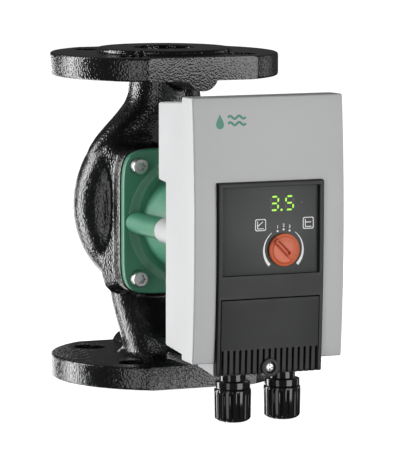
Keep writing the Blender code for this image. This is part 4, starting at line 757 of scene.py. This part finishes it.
def motor_body():
    outline = rounded_square(0, AXIS_Z, MOTOR_HALF_X, MOTOR_HALF_Z)
    made = bevel(prism("motor_body", outline, FLANGE_FRONT, BLOCK_FRONT - GAP, "Y"), 0.9 * MM)
    band_front = FLANGE_FRONT - 0.5 * MM
    profile = [
        (1 * MM, BARREL_FRONT), (BARREL_RADIUS - 1.5 * MM, BARREL_FRONT),
        (BARREL_RADIUS, FLANGE_FRONT - 5 * MM), (BARREL_RADIUS + 1.6 * MM, band_front),
        (BAND_OUTER, band_front), (BAND_OUTER, FLANGE_FRONT + 2 * MM),
    ]
    barrel = solid("barrel", profile, 3.2 * MM, (0, 0, AXIS_Z), sides=128, steps=6)
    root = FLANGE_FRONT + 1 * MM
    spigot = cylinder_y("spigot", 0, AXIS_Z, SPIGOT_RADIUS, root, SPIGOT_BACK, 96)
    pillars = [
        cylinder_y("pillar", side * PILLAR_X, AXIS_Z, PILLAR_RADIUS, PILLAR_FRONT, root) for side in (-1, 1)
    ]
    bore = BARREL_RADIUS - BARREL_WALL
    floor = BARREL_FRONT + BARREL_WALL
    mouth = -25 * MM
    hollow = [
        (0, floor), (bore - 5 * MM, floor), (bore, floor + 5 * MM), (bore, -35.3 * MM),
        (bore + 4 * MM, mouth), (0, mouth),
    ]
    inside = turned("inside", hollow, (0, 0, AXIS_Z))
    plug_way = box(
        "plug_way",
        (-PLUG_HALF_X, BARREL_FRONT - OVERRUN, AXIS_Z - PLUG_HALF_Z),
        (PLUG_HALF_X, BARREL_FRONT + 2 * BARREL_WALL, AXIS_Z + PLUG_HALF_Z),
    )
    holes = [
        cylinder_y("hole", x, AXIS_Z + z, 3.3 * MM, FLANGE_FRONT - OVERRUN, BLOCK_FRONT + OVERRUN, 24)
        for x in (-SCREW_X, SCREW_X)
        for z in (-SCREW_Z, SCREW_Z)
    ]
    join(made, barrel, spigot, *pillars)
    cut(made, inside, plug_way, *holes)
    return piece(made, "motor_body", green_paint, "pump", "green_paint", "motor_housing")


def lobed_star(x, z, outer, inner, points=6, count=60):
    """A six-lobe driver recess, round in both its tips and its hollows."""
    outline = []
    for i in range(count):
        turn = 2 * math.pi * i / count
        reach = (outer + inner) / 2 + (outer - inner) / 2 * math.cos(points * turn)
        outline.append((x + reach * math.cos(turn), z + reach * math.sin(turn)))
    return outline


def motor_screws():
    for node in [f"motor_screw_{i}" for i in range(1, 5)]:
        low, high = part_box(node)
        x, z = (low.x + high.x) / 2, (low.z + high.z) / 2
        radius = (high.z - low.z) / 2
        back = low.y + SCREW_HEAD
        shank = 3 * MM
        outline = [
            (1 * MM, low.y), (radius - 0.2 * MM, low.y), (radius, back - 1.2 * MM), (radius, back - 0.8 * MM),
            (radius, back), (shank, back), (shank, high.y),
        ]
        made = solid("head", outline, 0.9 * MM, (x, 0, z), sides=64)
        star = lobed_star(x, z, 3.1 * MM, 2.3 * MM)
        cut(made, prism("recess", star, low.y - OVERRUN, low.y + 2.6 * MM, "Y"))
        piece(made, node.replace("motor_screw", "motor_bolt"), zinc, "pump", "zinc_plated_steel", node)


# ---- module


def cover_front_at(z):
    share = (z - COVER_MIDDLE) / COVER_REACH
    return COVER_FRONT + COVER_SWEEP * share * share


def front_cover():
    low, high = cover_low.z, cover_high.z
    heights = spaced(low, high, 24)
    rear = SEAM_Y + 2 * OVERRUN
    outline = [(rear, low + 1 * MM)] + [(cover_front_at(z), z) for z in heights] + [(rear, high - 0.3 * MM)]
    made = bevel(prism("front_cover", outline, -MODULE_HALF, MODULE_HALF, "X"), 1.1 * MM, 4, 50)
    behind = box("behind", (-2 * MODULE_HALF, SEAM_Y, 0), (2 * MODULE_HALF, rear + OVERRUN, 2 * high))
    wall = SHELL_WALL
    inner = spaced(low + wall, high - wall, 24)
    hollow_outline = [(SEAM_Y + OVERRUN, low + wall)] + [(cover_front_at(z) + wall, z) for z in inner]
    hollow_outline.append((SEAM_Y + OVERRUN, high - wall))
    hollow = prism("front_hollow", hollow_outline, wall - MODULE_HALF, MODULE_HALF - wall, "X")
    way = box(
        "panel_way",
        (-PANEL_HALF - GAP, COVER_FRONT - OVERRUN, low - OVERRUN),
        (PANEL_HALF + GAP, SEAM_Y + OVERRUN, panel_high.z + GAP),
    )
    cut(made, hollow, way, behind)
    return piece(made, "front_cover", light_grey, "pump", "light_grey_plastic", "module_front_cover")


def rear_shell():
    half = shell_high.x
    seam = shell_low.y
    upper, lower, draft = SHELL_BACK_UPPER, SHELL_BACK_LOWER, SHELL_DRAFT
    top, bottom = shell_high.z, shell_low.z
    outline = [
        (seam - 2 * OVERRUN, bottom), (seam - 2 * OVERRUN, top), (seam, top), (upper, top - draft),
        (upper, SHELL_STEP_Z + 1 * MM), (lower, SHELL_STEP_Z), (lower, bottom + draft), (seam, bottom),
    ]
    made = bevel(prism("rear_shell", outline, -half, half, "X"), 1.5 * MM, 4)
    front = box("front", (-2 * half, seam - 3 * OVERRUN, 0), (2 * half, seam, 2 * top))
    wall = SHELL_WALL
    hollow_outline = [
        (seam - OVERRUN, bottom + wall), (seam - OVERRUN, top - wall), (upper - wall, top - draft - wall),
        (upper - wall, SHELL_STEP_Z + 1 * MM + wall), (lower - wall, SHELL_STEP_Z + wall),
        (lower - wall, bottom + draft + wall),
    ]
    cut(made, front, prism("hollow", hollow_outline, wall - half, half - wall, "X"))
    collar_front = lower - wall / 2
    collar_back = BARREL_FRONT - GAP
    ring = [
        (PLUG_WAY_RADIUS, collar_front), (25 * MM, collar_front), (23 * MM, collar_back),
        (PLUG_WAY_RADIUS, collar_back),
    ]
    collar = turned("collar", ring, (0, 0, AXIS_Z))
    seat, ahead, past = PILLAR_FRONT - GAP, lower - 2 * wall, PILLAR_FRONT + OVERRUN
    profile = [
        (1 * MM, collar_front), (SHELL_BOSS_RADIUS, collar_front), (SHELL_BOSS_RADIUS, seat), (1 * MM, seat),
    ]
    bosses, ways = [], []
    for x in (-PILLAR_X, PILLAR_X):
        bosses.append(solid("boss", profile, 0.8 * MM, (x, 0, AXIS_Z), sides=64))
        ways.append(cylinder_y("way", x, AXIS_Z, 2.5 * MM, ahead, past, 24))
    join(made, collar, *bosses)
    barrel_way = cylinder_y("barrel_way", 0, AXIS_Z, BARREL_RADIUS + GAP, collar_back, past, 96)
    plug_way = cylinder_y("plug_way", 0, AXIS_Z, PLUG_WAY_RADIUS, ahead, lower + wall, 48)
    box_way = box(
        "box_way",
        (-PANEL_HALF - GAP, seam - OVERRUN, bottom - OVERRUN),
        (PANEL_HALF + GAP, tray_high.y + GAP, tray_high.z + GAP),
    )
    cut(made, plug_way, barrel_way, box_way, *ways)
    return piece(made, "rear_shell", light_grey, "pump", "light_grey_plastic", "module_rear_shell")


def printed(name, outlines, surface, proud=0.05 * MM, sunk=0.25 * MM):
    """Thin raised print that follows a face whose depth is surface(z)."""
    shapes = []
    for outline in outlines:
        front = [(x, surface(z) - proud, z) for x, z in outline]
        back = [(x, surface(z) + sunk, z) for x, z in outline]
        shapes.append(loft("print", [front, back]))
    return merged(name, shapes)


def ribbon(points, widths):
    """The outline of a line of changing width through these points."""
    left, right = [], []
    for i, (x, z) in enumerate(points):
        before, after = points[max(0, i - 1)], points[min(len(points) - 1, i + 1)]
        dx, dz = after[0] - before[0], after[1] - before[1]
        length = math.hypot(dx, dz)
        nx, nz = -dz / length * widths[i] / 2, dx / length * widths[i] / 2
        left.append((x + nx, z + nz))
        right.append((x - nx, z - nz))
    return left + right[::-1]


def stroke(start, end, width):
    return ribbon([start, end], [width, width])


def disc(x, z, radius):
    return oval(x, z, radius, radius, 24)


def cover_symbol():
    """A plain drop with two waves, in place of a name."""
    x, z, size = -33 * MM, 185 * MM, 4.6 * MM
    drop = []
    for i in range(40):
        t = 2 * math.pi * i / 40
        taper = math.sin(t / 2) ** 1.6
        drop.append((x + 0.82 * size * math.sin(t) * taper, z - 0.1 * size + size * math.cos(t)))
    outlines = [drop]
    for level in (0.42, -0.42):
        line = []
        for i in range(25):
            wave = 0.9 * MM * math.sin(i * math.pi / 6)
            line.append((x + 5.4 * MM + 12 * MM * i / 24, z + level * size + wave))
        outlines.append(ribbon(line, [1.5 * MM] * 25))
    made = printed("cover_symbol", outlines, cover_front_at)
    return piece(made, "cover_symbol", print_green, "pump", "green_paint")


# ---- panel


def panel_front(z):
    below = max(0, (CURVE_TOP - z) / (CURVE_TOP - PANEL_BOTTOM))
    return panel_low.y + PANEL_SWEEP * below**1.6


def panel():
    back = panel_high.y
    heights = [*spaced(PANEL_BOTTOM, CURVE_TOP, 20), panel_high.z]
    outline = [(back, PANEL_BOTTOM)] + [(panel_front(z), z) for z in heights] + [(back, panel_high.z)]
    made = bevel(prism("panel", outline, -PANEL_HALF, PANEL_HALF, "X"), 0.8 * MM, 3, 50)
    window = WINDOW_HALF
    recess = box("recess", (-window, AHEAD, WINDOW_BOTTOM), (window, lens_high.y + GAP, WINDOW_TOP))
    pocket_low = (-window, POCKET_FRONT, PANEL_SPLIT + 6 * MM)
    pocket = box("pocket", pocket_low, (window, back + OVERRUN, WINDOW_TOP))
    side = PANEL_HALF - PANEL_SIDE
    split = PANEL_SPLIT + 2 * GAP
    below = PANEL_BOTTOM - OVERRUN
    cover_way = box("cover_way", (-side - GAP, AHEAD, below), (side, back + OVERRUN, split))
    strips = box(
        "strips",
        (-PANEL_HALF - OVERRUN, STRIP_FRONT, below),
        (PANEL_HALF + OVERRUN, back + OVERRUN, PANEL_SPLIT + GAP),
    )
    knob_way = cylinder_y("knob_way", KNOB_X, KNOB_Z, 5.3 * MM, AHEAD, back)
    cut(made, recess, pocket, cover_way, strips, knob_way)
    piece(made, "panel", dark_plastic, "pump", "dark_plastic", "panel_frame")
    # painted shade: the panel's side walls get the near-black material, in place of the shade that falls in
    # the gap beside them
    made.data.materials.append(painted_shade_plastic)
    for face in made.data.polygons:
        if abs(face.normal.x) > 0.7 and abs(face.center.x) > PANEL_HALF - 0.3 * MM:
            face.material_index = 1
    return made


def lens_face(_z):
    return LENS_FRONT


def lens():
    made = bevel(box("lens", lens_low, lens_high), 0.25 * MM, 2)
    cut(made, cylinder_y("stem_way", KNOB_X, KNOB_Z, 3.4 * MM, AHEAD, -150 * MM))
    return piece(made, "window_lens", lens_plastic, "pump", "smoked_lens", "display_lens")


def beside_knob(step, rise):
    """Where a dot or numeral stands, left of, above or right of the scale's middle."""
    return DOT_X + step * DOT_STEP, KNOB_Z + rise - DOT_DROP * abs(step)


def window_arcs():
    """The two scales beside the knob, thin at the top and broad at the bottom."""
    outlines = []
    for mirror in (1, -1):
        points, widths = [], []
        for i in range(31):
            turn = math.radians(ARC_START + ARC_TURN * i / 30)
            across, up = ARC_RADIUS * math.cos(turn), ARC_RADIUS * math.sin(turn)
            points.append((KNOB_X + mirror * across, KNOB_Z + up))
            widths.append((0.35 + 1.65 * (i / 30) ** 1.2) * MM)
        outlines.append(ribbon(points, widths))
    for step in (-1, 0, 1):
        outlines.append(disc(*beside_knob(step, DOT_RISE), 0.68 * MM))
    made = printed("window_arcs", outlines, lens_face)
    return piece(made, "window_arcs", print_white, "pump", "white_plastic")


def window_icons():
    """Two framed line charts: one curve that rises, one that stays level."""
    inner = ICON_HALF - ICON_LINE
    shapes = []
    for x, z, strokes in ICONS:
        outline = rounded_square(x, z, ICON_HALF, ICON_HALF, 48, 9)
        border = printed("border", [outline], lens_face)
        inside = rounded_square(x, z, inner, inner, 48, 9)
        cut(border, prism("inside", inside, LENS_FRONT - 1 * MM, LENS_FRONT + 1 * MM, "Y"))
        bars = []
        for (x0, z0), (x1, z1) in strokes:
            line = stroke((x + x0 * MM, z + z0 * MM), (x + x1 * MM, z + z1 * MM), ICON_LINE)
            bars.append(printed("bar", [line], lens_face))
        shapes += [border, join(*bars)]
    return piece(merged("window_icons", shapes), "window_icons", print_white, "pump", "white_plastic")


def window_numbers():
    shapes = []
    for step, number in ((-1, "1"), (0, "2"), (1, "3")):
        words = bpy.data.curves.new("number", "FONT")
        words.body = number
        words.size = 2.9 * MM
        words.extrude = 0.1 * MM
        words.offset = 0.03 * MM
        words.align_x = "CENTER"
        text = placed("number", words)
        x, z = beside_knob(step, NUMBER_RISE)
        place = Matrix.Translation((x, LENS_FRONT + 0.05 * MM, z))
        text.matrix_world = place @ Matrix.Rotation(math.pi / 2, 4, "X")
        shapes.append(placed("number", baked(text)))
        bpy.data.objects.remove(text)
    return piece(merged("window_numbers", shapes), "window_numbers", print_white, "pump", "white_plastic")


def segment(x, z, length, width, upright):
    """One bar of a seven-segment digit, with pointed ends."""
    half, thick = length / 2, width / 2
    above = [(-half, 0), (thick - half, thick), (half - thick, thick)]
    bar = above + [(-a, -b) for a, b in above]
    if upright:
        bar = [(-b, a) for a, b in bar]
    return [(x + a + (z + b - DIGIT_Z) * SEGMENT_SLANT, z + b) for a, b in bar]


def window_digits():
    """Two seven-segment digits and a point."""
    lit, unlit = [], []
    bars = {
        "top": (0, 0.5, False), "middle": (0, 0, False), "bottom": (0, -0.5, False),
        "upper_left": (-0.5, 0.25, True), "lower_left": (-0.5, -0.25, True),
        "upper_right": (0.5, 0.25, True), "lower_right": (0.5, -0.25, True),
    }
    shown = (
        (2.9 * MM, ("top", "middle", "bottom", "upper_right", "lower_right")),
        (13.2 * MM, ("top", "middle", "bottom", "upper_left", "lower_right")),
    )
    for x, on in shown:
        for name, (across, up, upright) in bars.items():
            length = (DIGIT_HEIGHT / 2 if upright else DIGIT_WIDTH) - 1.35 * MM
            place = (x + across * DIGIT_WIDTH, DIGIT_Z + up * DIGIT_HEIGHT)
            (lit if name in on else unlit).append(segment(*place, length, SEGMENT_WIDTH, upright))
    lit.append(disc(7.7 * MM, DIGIT_Z - DIGIT_HEIGHT / 2, 0.75 * MM))
    unlit.append(disc(21.4 * MM, DIGIT_Z, 0.7 * MM))
    made = printed("window_digits", lit, lens_face, 0.06 * MM)
    piece(made, "window_digits", lit_segment, "pump", "green_digits")
    made = printed("window_unlit", unlit, lens_face, 0.03 * MM)
    piece(made, "window_unlit", unlit_segment, "pump", "smoked_lens")


def knob():
    """A shallow dome with a raised frame round a pointer slot, and a scooped hollow beside the slot."""
    back = knob_low.y + 5.8 * MM
    rim = back - 2 * MM
    crown = back - KNOB_DOME
    wing_front = knob_low.y + 1.2 * MM
    stem_back = knob_high.y
    inner = 0.84 * KNOB_RADIUS
    profile = [
        (1 * MM, crown), (5 * MM, crown + 0.2 * MM), (inner - 0.3 * MM, rim - 0.7 * MM),
        (inner, rim - 0.2 * MM), (KNOB_RADIUS - 0.6 * MM, rim), (KNOB_RADIUS, rim + 0.6 * MM),
        (KNOB_RADIUS, back), (3 * MM, back), (3 * MM, stem_back),
    ]
    made = solid("knob", profile, 0.5 * MM, (KNOB_X, 0, KNOB_Z))
    reach = KNOB_RADIUS - 1.1 * MM
    frame_outline = [
        (-reach, -WING_HALF), (SLOT_BACK, -WING_HALF), (SLOT_BACK, WING_HALF), (-reach, WING_HALF),
    ]
    wing = prism("wing", frame_outline, wing_front, rim + 1 * MM, "Y")
    bevel(wing, 0.4 * MM, 3)
    slot_low = (-reach + 0.7 * MM, wing_front - OVERRUN, -SLOT_HALF)
    slot = box("slot", slot_low, (SLOT_BACK - 0.7 * MM, wing_front + 2.2 * MM, SLOT_HALF))
    scoop = []
    scoop_radius = 0.8 * KNOB_RADIUS
    for i in range(33):
        turn = math.radians(180 + 160 * i / 32)
        scoop.append((scoop_radius * math.cos(turn), scoop_radius * math.sin(turn)))
    scoop = [(x, z) for x, z in scoop if z < SCOOP_EDGE]
    scoop = [(scoop[0][0], SCOOP_EDGE)] + scoop + [(scoop[-1][0], SCOOP_EDGE)]
    deep = [(x * 0.94, min(z * 0.94, SCOOP_EDGE)) for x, z in scoop]
    hollow = loft(
        "hollow",
        [[(x, crown - OVERRUN, z) for x, z in scoop], [(x, crown + 0.6 * MM, z) for x, z in scoop],
         [(x, crown + 1.3 * MM, z) for x, z in deep]],
    )
    for shape in (wing, slot, hollow):
        shape.data.transform(Matrix.Rotation(math.radians(180 - POINTER), 4, "Y"))
        shape.data.transform(Matrix.Translation((KNOB_X, 0, KNOB_Z)))
    cut(made, hollow)
    join(made, wing)
    cut(made, slot)
    return piece(made, "knob", knob_plastic, "knob", "knob_red", "setting_knob")


# ---- terminals


def terminal_tray():
    half = tray_high.x
    front, back, top = tray_low.y, tray_high.y, tray_high.z
    outline = [(front, PANEL_BOTTOM - 0.4 * MM), (front, top), (back, top), (back, AXIS_Z - 80.5 * MM)]
    made = bevel(prism("tray", outline, -half, half, "X"), 0.8 * MM, 3)
    wall = TRAY_WALL
    pocket_low = (wall - half, front - OVERRUN, TRAY_FLOOR)
    cut(made, box("pocket", pocket_low, (half - wall, back - wall, top - wall)))
    join(made, cylinder_y("post", 0, COVER_SCREW_Z, 4.2 * MM, front, back - 1 * MM))
    depth = front + 12.3 * MM
    holes = [cylinder_y("post_hole", 0, COVER_SCREW_Z, SCREW_WAY_RADIUS, front - OVERRUN, depth, 24)]
    outline = stepped(10 * MM, [(GLAND_COLLAR + GAP, TRAY_FLOOR + 2 * MM)])
    for x in (-GLAND_X, GLAND_X):
        holes.append(turned("hole", outline, (x, GLAND_Y, 0), "Z", 64))
    cut(made, *holes)
    # painted shade: the tray takes the darkened grey
    return piece(made, "terminal_tray", painted_shade_grey, "pump", "mid_grey_plastic", "terminal_box")


def lid():
    half = lid_high.x
    back, top = lid_high.y, lid_high.z
    heights = spaced(PANEL_BOTTOM, top, 20)
    outline = [(back, PANEL_BOTTOM)] + [(panel_front(z), z) for z in heights] + [(back, top)]
    made = bevel(prism("lid", outline, -half, half, "X"), 0.5 * MM, 2, 50)
    grooves = []
    rows = int(half / RIB_PITCH)
    for i in range(-rows, rows + 1):
        x = i * RIB_PITCH
        low = (x - 0.85 * MM, panel_front(RIB_TOP) - 2.5 * MM, PANEL_BOTTOM - OVERRUN)
        high = (x + 0.85 * MM, panel_front(PANEL_BOTTOM) + 1.8 * MM, RIB_TOP)
        grooves.append(bevel(box("groove", low, high), 0.3 * MM, 2))
    cut(made, merged("grooves", grooves))
    boss_front = lid_low.y
    profile = [(1 * MM, boss_front), (5.8 * MM, boss_front), (5.8 * MM, back), (1 * MM, back)]
    join(made, solid("boss", profile, 0.5 * MM, (0, 0, COVER_SCREW_Z)))
    pocket = box(
        "pocket",
        (3 * MM - half, panel_front(PANEL_SPLIT) + 3.8 * MM, RIB_TOP + 2 * MM),
        (half - 3 * MM, back + OVERRUN, PANEL_SPLIT - 3 * MM),
    )
    sunk = boss_front + 2.6 * MM
    counterbore = cylinder_y("counterbore", 0, COVER_SCREW_Z, 3.8 * MM, boss_front - OVERRUN, sunk)
    hole = cylinder_y("hole", 0, COVER_SCREW_Z, SCREW_WAY_RADIUS, boss_front, back + OVERRUN, 24)
    cut(made, pocket, counterbore, hole)
    return piece(made, "lid", lid_plastic, "terminal_lid", "black_plastic", "terminal_cover")


def lid_screw():
    front, end = screw_low.y, screw_high.y
    radius = screw_high.x
    head_back = front + 2.6 * MM
    outline = [
        (0.5 * MM, front), (2.2 * MM, front + 0.3 * MM), (radius, front + 1 * MM), (radius, head_back),
        (1.7 * MM, head_back), (1.7 * MM, end),
    ]
    made = solid("screw", outline, 0.5 * MM, (0, 0, COVER_SCREW_Z), sides=64)
    recess = []
    for half_x, half_z in ((2 * MM, 0.5 * MM), (0.5 * MM, 2 * MM)):
        low = (-half_x, front - OVERRUN, COVER_SCREW_Z - half_z)
        high = (half_x, front + 1.5 * MM, COVER_SCREW_Z + half_z)
        recess.append(box("recess", low, high))
    cut(made, *recess)
    return piece(made, "lid_bolt", bright_zinc, "lid_screw", "zinc_plated_steel", "terminal_cover_screw")


def fluted(x, z, radius, depth):
    """The nut's outline: broad round ribs with narrow grooves between them."""
    ring = []
    for i in range(FLUTES):
        for step in range(10):
            share = step / 10
            groove = math.exp(-(((share - 0.8) / 0.17) ** 2))
            turn = 2 * math.pi * (i + share) / FLUTES
            reach = radius - depth * groove
            ring.append((x + reach * math.cos(turn), GLAND_Y + reach * math.sin(turn), z))
    return ring


def gland(side, x):
    inner_top, low_end, seal_seat = AXIS_Z - 77.7 * MM, AXIS_Z - 107.5 * MM, AXIS_Z - 100.2 * MM
    profile = rounded(
        [
            (GLAND_BORE, inner_top + 3 * MM), (9.45 * MM, inner_top + 3 * MM), (9.45 * MM, inner_top),
            (GLAND_COLLAR, inner_top), (GLAND_COLLAR, NUT_TOP + 5.1 * MM), (11 * MM, NUT_TOP + 4.7 * MM),
            (11 * MM, NUT_TOP + GAP), (8.6 * MM, NUT_TOP + GAP), (8.6 * MM, low_end), (6.9 * MM, low_end),
            (6.9 * MM, seal_seat), (GLAND_BORE, seal_seat),
        ],
        0.45 * MM,
    )
    body = turned(f"gland_{side}", profile, (x, GLAND_Y, 0), "Z", 96)
    piece(body, f"gland_{side}", black_plastic, "pump", "black_plastic", f"gland_body_{side}")
    radius = NUT_RADIUS
    rows = [  # height, radius, and the depth of the grooves in millimetres
        (NUT_BOTTOM, radius - 3.9 * MM, 0.2), (NUT_BOTTOM + 0.5 * MM, radius - 2.4 * MM, 0.35),
        (NUT_BOTTOM + 1.6 * MM, radius - 0.7 * MM, 1.0), (NUT_BOTTOM + 2.6 * MM, radius - 0.2 * MM, 1.2),
        (NUT_TOP - 4 * MM, radius, 1.2), (NUT_TOP - 2.2 * MM, radius, 1.2),
        (NUT_TOP - 1.7 * MM, radius - 0.1 * MM, 0.05), (NUT_TOP - 0.4 * MM, radius - 0.1 * MM, 0.05),
        (NUT_TOP, radius - 0.5 * MM, 0.05),
    ]
    nut = loft(f"nut_{side}", [fluted(x, z, reach, depth * MM) for z, reach, depth in rows])
    steps = [(9 * MM, AXIS_Z - 111.8 * MM), (5 * MM, NUT_BOTTOM - OVERRUN)]
    cut(nut, turned("inside", stepped(NUT_TOP + OVERRUN, steps), (x, GLAND_Y, 0), "Z"))
    piece(nut, f"nut_{side}", black_plastic, f"{side}_nut", "black_plastic", f"gland_nut_{side}", angle=50)


# ---- stage


def camera():
    """The viewing angle, from the left and a little above."""
    data = bpy.data.cameras.new("camera")
    data.lens = CAMERA_LENS
    data.clip_end = 50
    made = placed("camera", data)
    made.matrix_world = (
        Matrix.Translation(CAMERA_PLACE)
        @ Matrix.Rotation(-CAMERA_YAW, 4, "Z")
        @ Matrix.Rotation(math.pi / 2 - CAMERA_PITCH, 4, "X")
        @ Matrix.Rotation(CAMERA_ROLL, 4, "Z")
    )
    bpy.context.scene.camera = made


def softbox(name, bearing, distance, height, size, radiance):
    data = bpy.data.lights.new(name, "AREA")
    data.shape = "RECTANGLE"
    data.size, data.size_y = size
    data.energy = radiance * math.pi * size[0] * size[1]
    made = placed(name, data)
    turn = math.radians(bearing)
    made.location = (distance * math.cos(turn), distance * math.sin(turn), height)
    made.rotation_euler = (Vector((0, 0, AXIS_Z)) - made.location).to_track_quat("-Z", "Y").to_euler()
    made.visible_camera = False


def stage():
    """A pale floor that only the camera sees, a dim room and large soft lights round the object."""
    floor = prism("floor", [(-12, -12), (12, -12), (12, 12), (-12, 12)], -0.015, -0.0055, "Z")
    pale = material("floor_paint", (0.9, 0.9, 0.9), 0.7, grain=20 * MM, bump=0.01, blotch=0.01, specular=0.1)
    glow(pale, (1, 1, 1), 1)
    floor.data.materials.append(pale)
    floor.visible_glossy = floor.visible_diffuse = floor.visible_shadow = False
    floor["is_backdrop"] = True
    world = bpy.data.worlds.new("studio")
    world.use_nodes = True
    tree = world.node_tree
    background = fill(tree.nodes["Background"], Color=(1, 1, 1, 1))
    ray = tree.nodes.new("ShaderNodeLightPath")
    level = fill(tree.nodes.new("ShaderNodeMapRange"), To_Min=ROOM_FILL, To_Max=1)
    link(tree, ray, "Is Camera Ray", level, "Value")
    link(tree, level, "Result", background, "Strength")
    bpy.context.scene.world = world
    for name, values in LIGHTS.items():
        softbox(name, *values)
    bpy.context.scene.view_settings.view_transform = "Standard"


camera()
stage()
casing()
motor_body()
motor_screws()
front_cover()
rear_shell()
cover_symbol()
panel()
lens()
window_arcs()
window_icons()
window_numbers()
window_digits()
knob()
terminal_tray()
lid()
lid_screw()
for side, x in (("left", -GLAND_X), ("right", GLAND_X)):
    gland(side, x)

[[list(corner) for corner in corners] for corners in (cad_box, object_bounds())]
